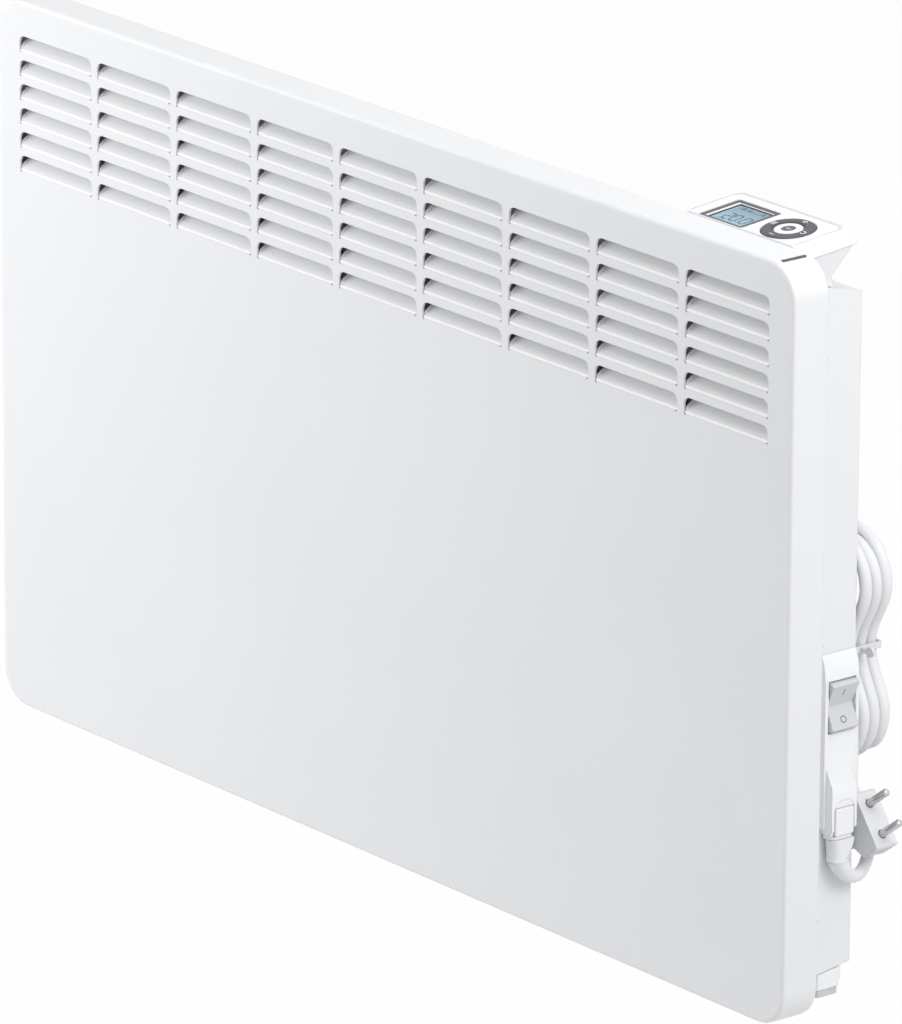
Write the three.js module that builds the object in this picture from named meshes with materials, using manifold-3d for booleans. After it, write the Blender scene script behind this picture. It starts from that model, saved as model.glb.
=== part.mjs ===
// Wall panel convector heater.
// A louvred front panel carries a rear casing with the heating element; a control pod stands behind
// the top edge, a switch and cord inlet sit on the right side, and the heater hangs on a wall bracket.
// Millimetres. X runs to the right, Y from the room into the wall, Z up.
// The pieces are laid out from the panel's own corner of reference: Y = 0 on the panel's front face,
// Z = 0 at its lower edge, X = 0 on its centre line. The outer group then moves the origin to the
// bracket's face on the wall.

import * as THREE from 'three';
import { mergeVertices } from 'three/addons/utils/BufferGeometryUtils.js';
import Module from 'manifold-3d';

const wasm = await Module();
wasm.setup();

// ---------------------------------------------------------------- driving dimensions

// front panel: a folded pan of sheet steel
const PANEL_WIDTH = 738;
const PANEL_HEIGHT = 450;
const PANEL_DEPTH = 26;          // depth of the folded edge
const PANEL_CORNER = 22;         // corner radius seen from the front
const PANEL_SHEET = 1.2;
const PANEL_FOLD = 2;            // outer radius of the folded edges
const PANEL_LIP = 9;             // width of the inward lip behind the edge
const TAMPER_SLOT = { inset: 15.5, y: 4.5, length: 17, width: 1.7 };   // slit in the top edge
const halfWidth = PANEL_WIDTH / 2;

// louvres in the front panel
const LOUVRE_COLUMNS = 9;
const LOUVRE_ROWS = 6;
const LOUVRE_PITCH_X = 78;
const LOUVRE_PITCH_Z = 15;
const LOUVRE_WIDTH = 72;
const LOUVRE_HEIGHT = 9.4;
const LOUVRE_TOP = 21.7;         // from the panel's top edge to the first opening
const LOUVRE_CORNER = 4;
const LOUVRE_END_GAP = 1.5;      // sheared gap at each end of a blade
const LOUVRE_NOTCH = 1.1;        // relief below the fold at each end
const BLADE_DEPTH = 6.6;         // how far a blade leans in at its upper edge
const BLADE_STEPS = 5;

// rear casing: a tray with an outward flange that lies on the panel's lip
const CASING_INSET = 30;         // each side, from the panel's edge
const CASING_REAR = 78;
const CASING_SHEET = 1.2;
const CASING_EDGE = 4;           // radius of the vertical rear edges
const CASING_FLANGE_INSET = 3;   // flange edge, from the panel's edge
const CASING_TOP = { front: PANEL_HEIGHT - 21.4, rear: PANEL_HEIGHT - 33.7 };   // sloping top wall
const CASING_BOTTOM = { front: 10.6, rear: 17.4 };    // sloping bottom wall
const casingHalf = halfWidth - CASING_INSET;
const CASING_BEND = 3.2;         // radius where top and bottom meet the rear wall
const VENT = { length: 30, width: 5, pitch: 42, count: 15, rowFront: 38, rowRear: 58 };

// gaps
const SEAT = 0.3;                // between pieces that touch
const SLIDE = 0.6;               // between pieces that slide

// wall bracket and its hooks
const WALL = 104;                // depth from the panel's face to the wall
const BRACKET_SHEET = 1.5;
const BRACKET_X = 200;           // uprights, each side of the centre line
const UPRIGHT_WIDTH = 36;
const UPRIGHT_LOW = 62;
const UPRIGHT_HIGH = PANEL_HEIGHT - 45;
const UPRIGHT_GAP = 0.8;         // between the casing and the uprights
const CROSSBAR_HEIGHT = 32;
const CROSSBAR_LENGTH = 470;
const CROSSBAR_HOLE = 3.5;
const CROSSBAR_UPPER = PANEL_HEIGHT - 120;   // centre height; the wall datum is here
const CROSSBAR_LOWER = 130;
const HOOK_HEIGHTS = [96, PANEL_HEIGHT - 150];  // underside of each hook's shank
const HOOK = { width: 16, shank: 3, rise: 10, tab: 2, depth: 5 };
const LIFT = 12;                 // upward travel that frees the hooks
const LATCH_Z = PANEL_HEIGHT - 58;   // underside of each latch's nose
const LATCH = { nose: 4, lip: 4, travel: 6, width: 12, body: 24, depth: 10, below: 10, above: 10, tab: 26 };

// control pod, laid out on its sloping top plane: u = X, v = up the slope, w = normal to it
const POD_SLOPE = 5.5;           // degrees, rising to the rear
const POD_MIDDLE = halfWidth - 78.25;   // X of the pod's centre line
const POD_TOP = { width: 92.5, length: 41.0, corner: 5.5 };
const POD_BELT = { width: 110.5, length: 42.0, drop: 6.6, corner: 7 };
const POD_NECK = { width: 97, length: 24.2, drop: 24.1, corner: 3 };
const POD_FRONT = 2.2;           // front wall of the pod's base, behind the casing flange
const POD_WALL = 2;
const POD_FLOOR_DROP = 34;
const DISPLAY = { left: POD_MIDDLE - 36.65, right: POD_MIDDLE + 0.45, front: 1.0, rear: 31.5, corner: 1.6 };
const DISPLAY_VIEW = { left: POD_MIDDLE - 30.25, right: POD_MIDDLE - 2.75, front: 3.3, rear: 27.2, corner: 0.8 };
const DISPLAY_REBATE = 2.5;
const BOARD = { drop: 7.5, thick: 1.6 };
const POD_SCREW = { x: 34, y: 40 };   // each side of the pod's middle
const POD_LEAD = { half: 18, front: 35.5, rear: 44.5 };   // hole for the pod's lead
const RING = { x: POD_MIDDLE + 22.25, v: 17.2, outer: 15.7, inner: 8.95, proud: 0.8, under: 2.6 };
const KEY_GAP = 0.42;            // around the ring key and the centre key
const OK_KEY = { proud: 0.5, under: 2, stem: 3, stemEnd: 4.0, lens: 4 };
const GIMBAL = { outer: 12.6, inner: 4.6, top: 3.3, under: 4.1, bump: 0.4, bumpSize: 1.6, bumpAt: 11 };

// side fitting with the rocker switch and the cord inlet
const SIDE = { front: 50, rear: 75.5, low: 103, high: 206.5, thick: 4.2 };
const ROCKER = { front: 53.2, rear: 72.4, low: 160.6, high: 190.4, proud: 8, middle: 2.4, pivot: -3.2 };
const ROCKER_GAP = 0.6;
const HOOD = { front: 51.7, rear: 70.5, out: 10, top: 147, crease: 128.5, wall: 1.8, window: 120.5 };
const CONNECTOR = { front: 54.2, rear: 68.4, out: 7.9, low: 97, high: 126 };
const BOOT = { x: casingHalf + 7.2, y: 58.6, end: 84, tip: 6, socket: 4.6, socketDepth: 4 };

// supports under the casing's ends
const SHOE = { width: 18, front: 52, rear: 69, step: 68, stepHeight: 8.2, padTop: 3.9, floor: -0.3 };

// inside
const ELEMENT = { length: 2 * casingHalf - 88, y: 50, z: 74, core: 7, fin: 21, finThick: 1.8, fins: 8, pin: 3.5 };
const ELEMENT_PLATE = { thick: 1.5, height: 56, depth: 44 };
const SHIELD = { half: 175, low: 122, high: PANEL_HEIGHT - 164, stand: 4, sheet: 0.8, lip: 8 };

const SENSOR = { left: casingHalf - 36, right: casingHalf - 18, front: 33, rear: 49, high: 29 };
const TERMINAL = { left: casingHalf - 39, right: casingHalf - 13, low: 118, high: 143, depth: 16, slot: 0.8 };

// screws
const SCREW = { head: 2.8, headHigh: 1.6, shank: 1.7 };
const FLANGE_SCREWS = [-1, 1].flatMap((side) => [60, PANEL_HEIGHT / 2, PANEL_HEIGHT - 58].map((z) => [side, z]));

// ---------------------------------------------------------------- finishes

const finish = (color, roughness, metalness = 0) =>
  new THREE.MeshStandardMaterial({ color, roughness, metalness });
const whiteCoat = finish(0xeceded, 0.42);
const whitePlastic = finish(0xe9eaeb, 0.5);
const warmPlastic = finish(0xdcdddf, 0.5);
const greyKey = finish(0x5b5d62, 0.5);
const darkFrame = finish(0x6d7076, 0.45);
const glassBlue = finish(0xc9dce6, 0.15);
const boardGreen = finish(0x2f6b45, 0.6);
const rubberGrey = finish(0x9a9c9f, 0.8);
const cordWhite = finish(0xececee, 0.55);
const zincSteel = finish(0xb8bcc0, 0.4, 0.8);
const aluminium = finish(0xc4c6c8, 0.45, 0.9);
const chromePin = finish(0xd8dadc, 0.15, 1);
const mica = finish(0xb9a98c, 0.7);

// ---------------------------------------------------------------- shape tools

const AXIS_X = new THREE.Vector3(1, 0, 0);
const AXIS_Y = new THREE.Vector3(0, 1, 0);
const AXIS_Z = new THREE.Vector3(0, 0, 1);
const radians = THREE.MathUtils.degToRad;

function toSolid(geometry) {
  const bare = geometry.clone();
  bare.deleteAttribute('normal');
  bare.deleteAttribute('uv');
  const merged = mergeVertices(bare, 1e-4);
  return new wasm.Manifold(new wasm.Mesh({
    numProp: 3,
    vertProperties: new Float32Array(merged.attributes.position.array),
    triVerts: new Uint32Array(merged.index.array),
  }));
}

function toGeometry(solid) {
  const mesh = solid.getMesh();
  const geometry = new THREE.BufferGeometry();
  geometry.setAttribute('position', new THREE.BufferAttribute(new Float32Array(mesh.vertProperties), 3));
  geometry.setIndex(new THREE.BufferAttribute(new Uint32Array(mesh.triVerts), 1));
  return geometry;
}

const cut = (body, ...tools) =>
  toGeometry(tools.reduce((solid, tool) => solid.subtract(toSolid(tool)), toSolid(body)));
const join = (body, ...more) =>
  toGeometry(more.reduce((solid, extra) => solid.add(toSolid(extra)), toSolid(body)));
const common = (body, ...others) =>
  toGeometry(others.reduce((solid, other) => solid.intersect(toSolid(other)), toSolid(body)));

// a box given by two opposite corners
function block(x0, x1, y0, y1, z0, z1) {
  return new THREE.BoxGeometry(Math.abs(x1 - x0), Math.abs(y1 - y0), Math.abs(z1 - z0))
    .translate((x0 + x1) / 2, (y0 + y1) / 2, (z0 + z1) / 2);
}

// outline of a rectangle with a radius at each corner, anticlockwise from the lower left
function rounded(x0, x1, y0, y1, radii, steps = 4) {
  const r = Array.isArray(radii) ? radii : [radii, radii, radii, radii];
  const corners = [[x0, y0, 180], [x1, y0, 270], [x1, y1, 0], [x0, y1, 90]];
  return corners.flatMap(([x, y, start], i) => {
    const cx = x + (x === x0 ? r[i] : -r[i]);
    const cy = y + (y === y0 ? r[i] : -r[i]);
    return Array.from({ length: steps + 1 }, (_, k) => {
      const angle = radians(start + (90 * k) / steps);
      return new THREE.Vector2(cx + r[i] * Math.cos(angle), cy + r[i] * Math.sin(angle));
    });
  });
}

function circle(x, y, radius, steps = 20) {
  return Array.from({ length: steps }, (_, k) => {
    const angle = (2 * Math.PI * k) / steps;
    return new THREE.Vector2(x + radius * Math.cos(angle), y + radius * Math.sin(angle));
  });
}

// a closed solid through outlines with equal numbers of points, each at its own height
function stack(levels) {
  const count = levels[0].outline.length;
  const position = levels.flatMap(({ outline, at }) => outline.flatMap((p) => [p.x, p.y, at]));
  const index = [];
  for (let level = 0; level < levels.length - 1; level += 1) {
    for (let i = 0; i < count; i += 1) {
      const a = level * count + i;
      const b = level * count + ((i + 1) % count);
      index.push(a, b, b + count, a, b + count, a + count);
    }
  }
  const top = (levels.length - 1) * count;
  for (const [a, b, c] of THREE.ShapeUtils.triangulateShape(levels[0].outline, [])) index.push(a, c, b);
  for (const [a, b, c] of THREE.ShapeUtils.triangulateShape(levels.at(-1).outline, [])) {
    index.push(top + a, top + b, top + c);
  }
  const geometry = new THREE.BufferGeometry();
  geometry.setAttribute('position', new THREE.Float32BufferAttribute(position, 3));
  geometry.setIndex(index);
  return geometry;
}

const prism = (outline, low, high) => stack([{ outline, at: low }, { outline, at: high }]);

// outline drawn in X and Z, thick in Y
function plateXZ(outline, y0, y1) {
  return prism(outline, -y1, -y0).rotateX(Math.PI / 2);
}

// outline drawn in Y and Z, long in X
const TURN_YZ = new THREE.Matrix4().makeBasis(AXIS_Y, AXIS_Z, AXIS_X);
function barYZ(outline, x0, x1) {
  return prism(outline, Math.min(x0, x1), Math.max(x0, x1)).applyMatrix4(TURN_YZ);
}

const points = (...pairs) => pairs.map(([x, y]) => new THREE.Vector2(x, y));

// a polyline given a thickness on its left side
function strip(line, thick) {
  const normals = line.slice(1).map((p, i) => {
    const along = p.clone().sub(line[i]).normalize();
    return new THREE.Vector2(-along.y, along.x);
  });
  const offset = line.map((p, i) => {
    const before = normals[Math.max(i - 1, 0)];
    const after = normals[Math.min(i, normals.length - 1)];
    const middle = before.clone().add(after).normalize();
    return p.clone().addScaledVector(middle, thick / middle.dot(after));
  });
  const outline = [...line, ...offset.reverse()];
  return THREE.ShapeUtils.area(outline) > 0 ? outline : outline.reverse();
}

function turned(profile, steps = 20) {
  return new THREE.LatheGeometry(points(...profile), steps).rotateX(Math.PI / 2);
}

const part = (name, geometry, material) => {
  const mesh = new THREE.Mesh(geometry, material);
  mesh.name = name;
  return mesh;
};

// ---------------------------------------------------------------- front panel

function panelShell(inset, y0, y1, fold) {
  const outline = (grow) => rounded(-halfWidth + inset + grow, halfWidth - inset - grow,
    inset + grow, PANEL_HEIGHT - inset - grow, PANEL_CORNER - inset - grow, 6);
  const rings = [0, 1, 2, 3].map((k) => {
    const angle = radians(30 * k);
    return { grow: fold * (1 - Math.sin(angle)), step: fold * (1 - Math.cos(angle)) };
  });
  const levels = [
    ...rings.map(({ grow, step }) => ({ outline: outline(grow), at: -y1 + step })),
    ...rings.reverse().map(({ grow, step }) => ({ outline: outline(grow), at: -y0 - step })),
  ];
  return stack(levels).rotateX(Math.PI / 2);
}

// the blade's middle line in Y and Z, from the fold up: it leans in, then straightens behind the edge
function bladeSection() {
  const rise = LOUVRE_HEIGHT + LOUVRE_NOTCH;
  const line = [new THREE.Vector2(0, -LOUVRE_NOTCH - 0.5), new THREE.Vector2(0, 0)];
  for (let k = 1; k <= BLADE_STEPS; k += 1) {
    const t = k / BLADE_STEPS;
    line.push(new THREE.Vector2(BLADE_DEPTH * Math.sin((t * Math.PI) / 2) ** 1.15, t * rise * 0.97));
  }
  return strip(line, -PANEL_SHEET);
}

function frontPanel() {
  const pan = cut(
    panelShell(0, 0, PANEL_DEPTH, PANEL_FOLD),
    panelShell(PANEL_SHEET, PANEL_SHEET, PANEL_DEPTH - PANEL_SHEET, PANEL_FOLD - PANEL_SHEET),
    plateXZ(rounded(-halfWidth + PANEL_LIP, halfWidth - PANEL_LIP, PANEL_LIP, PANEL_HEIGHT - PANEL_LIP,
      PANEL_CORNER - PANEL_LIP, 4), PANEL_DEPTH / 2, PANEL_DEPTH + 1),
    block(halfWidth - TAMPER_SLOT.inset - TAMPER_SLOT.width, halfWidth - TAMPER_SLOT.inset, TAMPER_SLOT.y,
      TAMPER_SLOT.y + TAMPER_SLOT.length, PANEL_HEIGHT - 8, PANEL_HEIGHT + 1),
  );
  const half = LOUVRE_WIDTH / 2;
  const hole = plateXZ(rounded(-half, half, -LOUVRE_NOTCH, LOUVRE_HEIGHT,
    [0.6, 0.6, LOUVRE_CORNER, LOUVRE_CORNER], 2), -1, PANEL_SHEET + 1);
  const blade = barYZ(bladeSection(), -half + LOUVRE_END_GAP, half - LOUVRE_END_GAP);
  const holes = [];
  const blades = [];
  for (let row = 0; row < LOUVRE_ROWS; row += 1) {
    for (let column = 0; column < LOUVRE_COLUMNS; column += 1) {
      const x = (column - (LOUVRE_COLUMNS - 1) / 2) * LOUVRE_PITCH_X;
      const z = PANEL_HEIGHT - LOUVRE_TOP - LOUVRE_HEIGHT - row * LOUVRE_PITCH_Z;
      holes.push(hole.clone().translate(x, 0, z));
      blades.push(blade.clone().translate(x, 0, z));
    }
  }
  return join(cut(pan, ...holes), ...blades);
}

// ---------------------------------------------------------------- rear casing

const casingFront = PANEL_DEPTH + SEAT;
const slope = ({ front, rear }) => (rear - front) / (CASING_REAR - casingFront);
const casingTopAt = (y) => CASING_TOP.front + slope(CASING_TOP) * (y - casingFront);
const casingBottomAt = (y) => CASING_BOTTOM.front + slope(CASING_BOTTOM) * (y - casingFront);

// the tray's section in Y and Z, drawn in by a wall where it is the inner face
function casingSection(wall, front) {
  const rear = CASING_REAR - wall;
  const bend = CASING_BEND - wall;
  const low = casingBottomAt(rear) + wall;
  const high = casingTopAt(rear) - wall;
  const arc = (cy, cz, start) => [0, 30, 60, 90].map((a) => [
    cy + bend * Math.cos(radians(start + a)), cz + bend * Math.sin(radians(start + a))]);
  return points(
    [front, casingBottomAt(front) + wall],
    ...arc(rear - bend, low + bend, 270),
    ...arc(rear - bend, high - bend, 0),
    [front, casingTopAt(front) - wall],
  );
}

function casingShell(wall, front) {
  const plan = rounded(-casingHalf + wall, casingHalf - wall, 0, CASING_REAR - wall,
    [0.2, 0.2, CASING_EDGE - wall, CASING_EDGE - wall], 4);
  return common(
    barYZ(casingSection(wall, front), -casingHalf + wall, casingHalf - wall),
    prism(plan, -20, PANEL_HEIGHT + 20),
  );
}

const hookSlot = (side, z) => block(side * BRACKET_X - HOOK.width / 2 - 1, side * BRACKET_X + HOOK.width / 2 + 1,
  CASING_REAR - 6, CASING_REAR + 1, z - LIFT - 1, z + HOOK.shank + SEAT);
const latchWindow = (side) => block(side * BRACKET_X - LATCH.width / 2 - 1, side * BRACKET_X + LATCH.width / 2 + 1,
  CASING_REAR - 6, CASING_REAR + 1, LATCH_Z - LATCH.travel - LIFT - 1, LATCH_Z + LATCH.nose + SLIDE);

function ventRows(z, depth) {
  const slots = [];
  for (let k = 0; k < VENT.count; k += 1) {
    const x = (k - (VENT.count - 1) / 2) * VENT.pitch;
    for (const y of [VENT.rowFront, VENT.rowRear]) {
      slots.push(block(x - VENT.length / 2, x + VENT.length / 2, y, y + VENT.width, z - depth, z + depth));
    }
  }
  return slots;
}

function rearCasing() {
  const flange = plateXZ(rounded(-halfWidth + CASING_FLANGE_INSET, halfWidth - CASING_FLANGE_INSET,
    CASING_FLANGE_INSET, PANEL_HEIGHT - CASING_FLANGE_INSET, PANEL_CORNER - CASING_FLANGE_INSET, 4),
    casingFront, casingFront + CASING_SHEET);
  const screwHoles = FLANGE_SCREWS.map(([side, z]) => flangeScrewHole(side, z));
  const sideWindow = block(casingHalf - 6, casingHalf + 1, ROCKER.front - 1.2, ROCKER.rear + 1.2,
    ROCKER.low - 4, ROCKER.high + 4);
  const podHole = block(POD_MIDDLE - POD_LEAD.half - 2, POD_MIDDLE + POD_LEAD.half + 2, POD_LEAD.front - 1.5,
    POD_LEAD.rear + 1.5, CASING_TOP.rear - 4, CASING_TOP.front + 4);
  const podNotch = block(POD_MIDDLE - POD_BELT.width / 2 - 1, POD_MIDDLE + POD_BELT.width / 2 + 1,
    PANEL_DEPTH, casingFront + CASING_SHEET + 0.5, PANEL_HEIGHT - POD_BELT.drop - 1, PANEL_HEIGHT + 1);
  return cut(
    join(casingShell(0, casingFront), flange),
    casingShell(CASING_SHEET, casingFront - 5),
    ...[-1, 1].flatMap((side) => [...HOOK_HEIGHTS.map((z) => hookSlot(side, z)), latchWindow(side)]),
    ...ventRows(casingBottomAt(50), 6),
    ...screwHoles, sideWindow, podHole, podNotch,
    ...POD_SCREWS.map((x) => podScrew(x, SCREW.shank + SEAT, 12, 8)),
    ...SIDE_SCREWS.map((z) => sideScrew(z, SCREW.shank + SEAT, 12, 8)),
  );
}

const flangeScrewX = halfWidth - (CASING_FLANGE_INSET + PANEL_LIP) / 2;
function flangeScrewHole(side, z) {
  return plateXZ(circle(side * flangeScrewX, z, SCREW.shank + SEAT, 8), PANEL_DEPTH - PANEL_SHEET - 1,
    casingFront + CASING_SHEET + 1);
}

// a screw with its head's seat at the origin, its shank along +Z
function screw(length) {
  const body = turned([[0, -SCREW.headHigh], [SCREW.head - 0.5, -SCREW.headHigh], [SCREW.head, -SCREW.headHigh + 0.6],
    [SCREW.head, 0], [SCREW.shank, 0], [SCREW.shank, length - 1], [0, length]], 16);
  const slot = [[2.9, 0.7], [0.7, 2.9]].map(([x, y]) => block(-x / 2, x / 2, -y / 2, y / 2, -3, -SCREW.headHigh + 0.8));
  return cut(body, ...slot);
}

function flangeScrew([side, z]) {
  return screw(5.6).rotateX(Math.PI / 2)
    .translate(side * flangeScrewX, casingFront + CASING_SHEET + SEAT, z);
}

// pod screws stand square to the casing's sloping top wall
const POD_SCREWS = [-POD_SCREW.x, POD_SCREW.x];
const topLean = Math.atan(slope(CASING_TOP));
const onCasingTop = (geometry, x) =>
  geometry.rotateX(topLean).translate(POD_MIDDLE + x, POD_SCREW.y, casingTopAt(POD_SCREW.y));
const podScrew = (x, radius, length, steps) =>
  onCasingTop(new THREE.CylinderGeometry(radius, radius, length, steps).rotateX(Math.PI / 2), x);

// side fitting screws come from inside the casing's side wall
const SIDE_SCREWS = [153, 196.5];
const sideScrewY = 62;
const sideScrew = (z, radius, length, steps) =>
  new THREE.CylinderGeometry(radius, radius, length, steps).rotateZ(Math.PI / 2)
    .translate(casingHalf + 2.6 - length / 2 + 0.4, sideScrewY, z);

// ---------------------------------------------------------------- wall bracket

const webFront = CASING_REAR + UPRIGHT_GAP;
const webRear = webFront + BRACKET_SHEET;
const barFront = WALL - BRACKET_SHEET;

function crossbar(z) {
  const outline = rounded(-CROSSBAR_LENGTH / 2, CROSSBAR_LENGTH / 2, z - CROSSBAR_HEIGHT / 2,
    z + CROSSBAR_HEIGHT / 2, 5, 3);
  const holes = [-150, -60, 60, 150].map((x) =>
    plateXZ(circle(x, z, CROSSBAR_HOLE, 12), barFront - 1, WALL + 1));
  return cut(plateXZ(outline, barFront, WALL), ...holes);
}

function upright(side) {
  const x = side * BRACKET_X;
  const half = UPRIGHT_WIDTH / 2;
  const back = barFront - SEAT;
  const channel = prism(strip(points([x - half, back], [x - half, webFront], [x + half, webFront],
    [x + half, back]), BRACKET_SHEET), UPRIGHT_LOW, UPRIGHT_HIGH);
  const hooks = HOOK_HEIGHTS.flatMap((z) => {
    const front = webFront - HOOK.depth - BRACKET_SHEET / 2;
    return [
      block(x - HOOK.width / 2, x + HOOK.width / 2, front, webRear, z, z + HOOK.shank),
      block(x - HOOK.width / 2, x + HOOK.width / 2, front, front + HOOK.tab, z, z + HOOK.shank + HOOK.rise),
    ];
  });
  const lanced = HOOK_HEIGHTS.map((z) => block(x - HOOK.width / 2, x + HOOK.width / 2, webFront - 1, webRear + 1,
    z + HOOK.shank, z + HOOK.shank + HOOK.rise));
  const slot = block(x - LATCH.width / 2 - SLIDE, x + LATCH.width / 2 + SLIDE, webFront - 1, webRear + 1,
    LATCH_Z - LATCH.travel - SLIDE, LATCH_Z + LATCH.nose + SLIDE);
  const guideFront = webRear + SLIDE + LATCH.depth + SLIDE;
  const guide = block(x - half + 0.5, x + half - 0.5, guideFront, guideFront + BRACKET_SHEET,
    LATCH_Z - LATCH.below + 2, LATCH_Z + LATCH.above - 4);
  return join(cut(channel, ...lanced, slot), ...hooks, guide);
}

function topLatch(side) {
  const x = side * BRACKET_X;
  const front = webRear + SLIDE;
  const rear = front + LATCH.depth;
  const inside = webFront - HOOK.depth - BRACKET_SHEET / 2;
  const half = LATCH.width / 2;
  const top = LATCH_Z + LATCH.above;
  const tab = LATCH_Z + LATCH.tab;
  return join(
    block(x - LATCH.body / 2, x + LATCH.body / 2, front, rear, LATCH_Z - LATCH.below, top),
    block(x - half, x + half, inside, front + 1, LATCH_Z, LATCH_Z + LATCH.nose),
    block(x - half, x + half, inside, inside + HOOK.tab, LATCH_Z, LATCH_Z + LATCH.nose + LATCH.lip),
    block(x - half, x + half, front + 2, front + 6, top - 1, tab),
    barYZ(rounded(front + 0.5, rear, tab - 3, tab, 1, 2), x - LATCH.body / 2, x + LATCH.body / 2),
  );
}

// ---------------------------------------------------------------- control pod

const podHome = new THREE.Vector3(0, PANEL_DEPTH, PANEL_HEIGHT);
const podMatrix = new THREE.Matrix4().makeRotationX(radians(POD_SLOPE)).setPosition(podHome);
const intoPod = (geometry) => geometry.applyMatrix4(podMatrix.clone().invert());

// everything below the casing's top wall, raised by a gap
const belowCasingTop = (raise) => intoPod(barYZ(points([20, CASING_TOP.rear - 80],
  [90, CASING_TOP.rear - 80], [90, casingTopAt(90) + raise], [20, casingTopAt(20) + raise]),
  POD_MIDDLE - POD_BELT.width, POD_MIDDLE + POD_BELT.width));

const podOutline = ({ width, corner }, front, rear, shrink = 0) =>
  rounded(POD_MIDDLE - width / 2 + shrink, POD_MIDDLE + width / 2 - shrink, front, rear,
    [1.2, 1.2, corner, corner], 5);

function controlCover() {
  const front = 0.3;
  const shell = stack([
    { outline: podOutline(POD_BELT, front, POD_BELT.length + front), at: -POD_BELT.drop },
    { outline: podOutline(POD_BELT, front, POD_BELT.length + front, 0.8), at: -POD_BELT.drop + 0.8 },
    { outline: podOutline(POD_TOP, front, POD_TOP.length + front), at: -0.6 },
    { outline: podOutline(POD_TOP, front + 0.4, POD_TOP.length + front - 0.6, 0.6), at: 0 },
  ]);
  const hollow = stack([
    { outline: podOutline(POD_BELT, front + 2.3, POD_BELT.length + front - POD_WALL, POD_WALL), at: -POD_BELT.drop - 0.1 },
    { outline: podOutline(POD_TOP, front + 2.3, POD_TOP.length + front - POD_WALL, POD_WALL), at: -3 },
  ]);
  const rebate = prism(rounded(DISPLAY.left, DISPLAY.right, DISPLAY.front, DISPLAY.rear, DISPLAY.corner, 3),
    -DISPLAY_REBATE, 1);
  const through = prism(rounded(DISPLAY.left + 1.2, DISPLAY.right - 1.2, DISPLAY.front + 3, DISPLAY.rear - 1.2,
    1, 3), -4, -DISPLAY_REBATE + 0.1);
  const ringHole = prism(circle(RING.x, RING.v, RING.outer + KEY_GAP, 40), -4, 1);
  return cut(shell, hollow, rebate, through, ringHole);
}

const boardOutline = (grow) => rounded(POD_MIDDLE - POD_BELT.width / 2 + 4.75 - grow,
  POD_MIDDLE + POD_BELT.width / 2 - 4.75 + grow, POD_FRONT + POD_WALL + 0.5 - grow, POD_BELT.length - 5.6 + grow, 2.5 + grow);

function controlBase() {
  const neckRear = POD_FRONT + POD_NECK.length - 0.2;
  const shell = stack([
    { outline: podOutline(POD_NECK, POD_FRONT, neckRear), at: -POD_FLOOR_DROP },
    { outline: podOutline(POD_NECK, POD_FRONT, neckRear), at: -POD_NECK.drop },
    { outline: podOutline(POD_BELT, POD_FRONT, POD_BELT.length - 0.2, 1), at: -POD_BELT.drop - SEAT },
  ]);
  const pocket = prism(boardOutline(0.5), -BOARD.drop - BOARD.thick - SEAT, -POD_BELT.drop + 1);
  const room = stack([
    { outline: podOutline(POD_NECK, POD_FRONT + POD_WALL, neckRear - POD_WALL, POD_WALL), at: -POD_FLOOR_DROP - 1 },
    { outline: podOutline(POD_NECK, POD_FRONT + POD_WALL, neckRear - POD_WALL, POD_WALL), at: -POD_NECK.drop },
    { outline: podOutline(POD_NECK, POD_FRONT + POD_WALL + 1.5, POD_BELT.length - 7.4, 0.5),
      at: -BOARD.drop - BOARD.thick - 0.2 },
  ]);
  const lead = intoPod(block(POD_MIDDLE - POD_LEAD.half, POD_MIDDLE + POD_LEAD.half, POD_LEAD.front, POD_LEAD.rear,
    CASING_TOP.rear - 10, CASING_TOP.front + 8));
  return cut(
    cut(shell, belowCasingTop(SEAT), pocket, cut(room, belowCasingTop(SEAT + POD_WALL)), lead),
    ...POD_SCREWS.map((x) => intoPod(podScrew(x, SCREW.shank + SEAT, 12, 8))),
  );
}

const displayHole = (grow) => rounded(DISPLAY_VIEW.left - grow, DISPLAY_VIEW.right + grow,
  DISPLAY_VIEW.front - grow, DISPLAY_VIEW.rear + grow, DISPLAY_VIEW.corner, 3);

function displayFrame() {
  const plate = prism(rounded(DISPLAY.left + SEAT, DISPLAY.right - SEAT, DISPLAY.front + SEAT,
    DISPLAY.rear - SEAT, DISPLAY.corner - SEAT, 3), -DISPLAY_REBATE + SEAT, -0.35);
  return cut(plate, prism(displayHole(0), -4, 1));
}

const displayGlass = () => prism(displayHole(-SEAT), -DISPLAY_REBATE + SEAT, -1);
const boardTop = -BOARD.drop;
const circuitBoard = () => prism(boardOutline(0), boardTop - BOARD.thick, boardTop);
const displayModule = () => prism(rounded(DISPLAY.left + 1.5, DISPLAY.right - 1.5, DISPLAY.front + 3.6,
  DISPLAY.rear - 1.5, 0.8, 3), boardTop + SEAT, -DISPLAY_REBATE);

function keyMat() {
  const reach = RING.outer + 0.8;
  const mat = prism(rounded(RING.x - reach, RING.x + reach, POD_FRONT + POD_WALL + 0.8, RING.v + reach - 2.7, 2),
    boardTop + SEAT, -GIMBAL.under - GIMBAL.bump - SEAT);
  const marks = [[13.4, 0], [-13.4, 0], [0, 11.2]].map(([x, v]) =>
    prism(circle(RING.x + x, RING.v + v, 0.9, 8), -5.4, -4));
  return cut(mat, ...marks);
}

// the keys are laid out round their own centre, at the height of the pod's top plane
const ringDisc = (radius, low, high, steps = 40) => prism(circle(0, 0, radius, steps), low, high);

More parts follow.
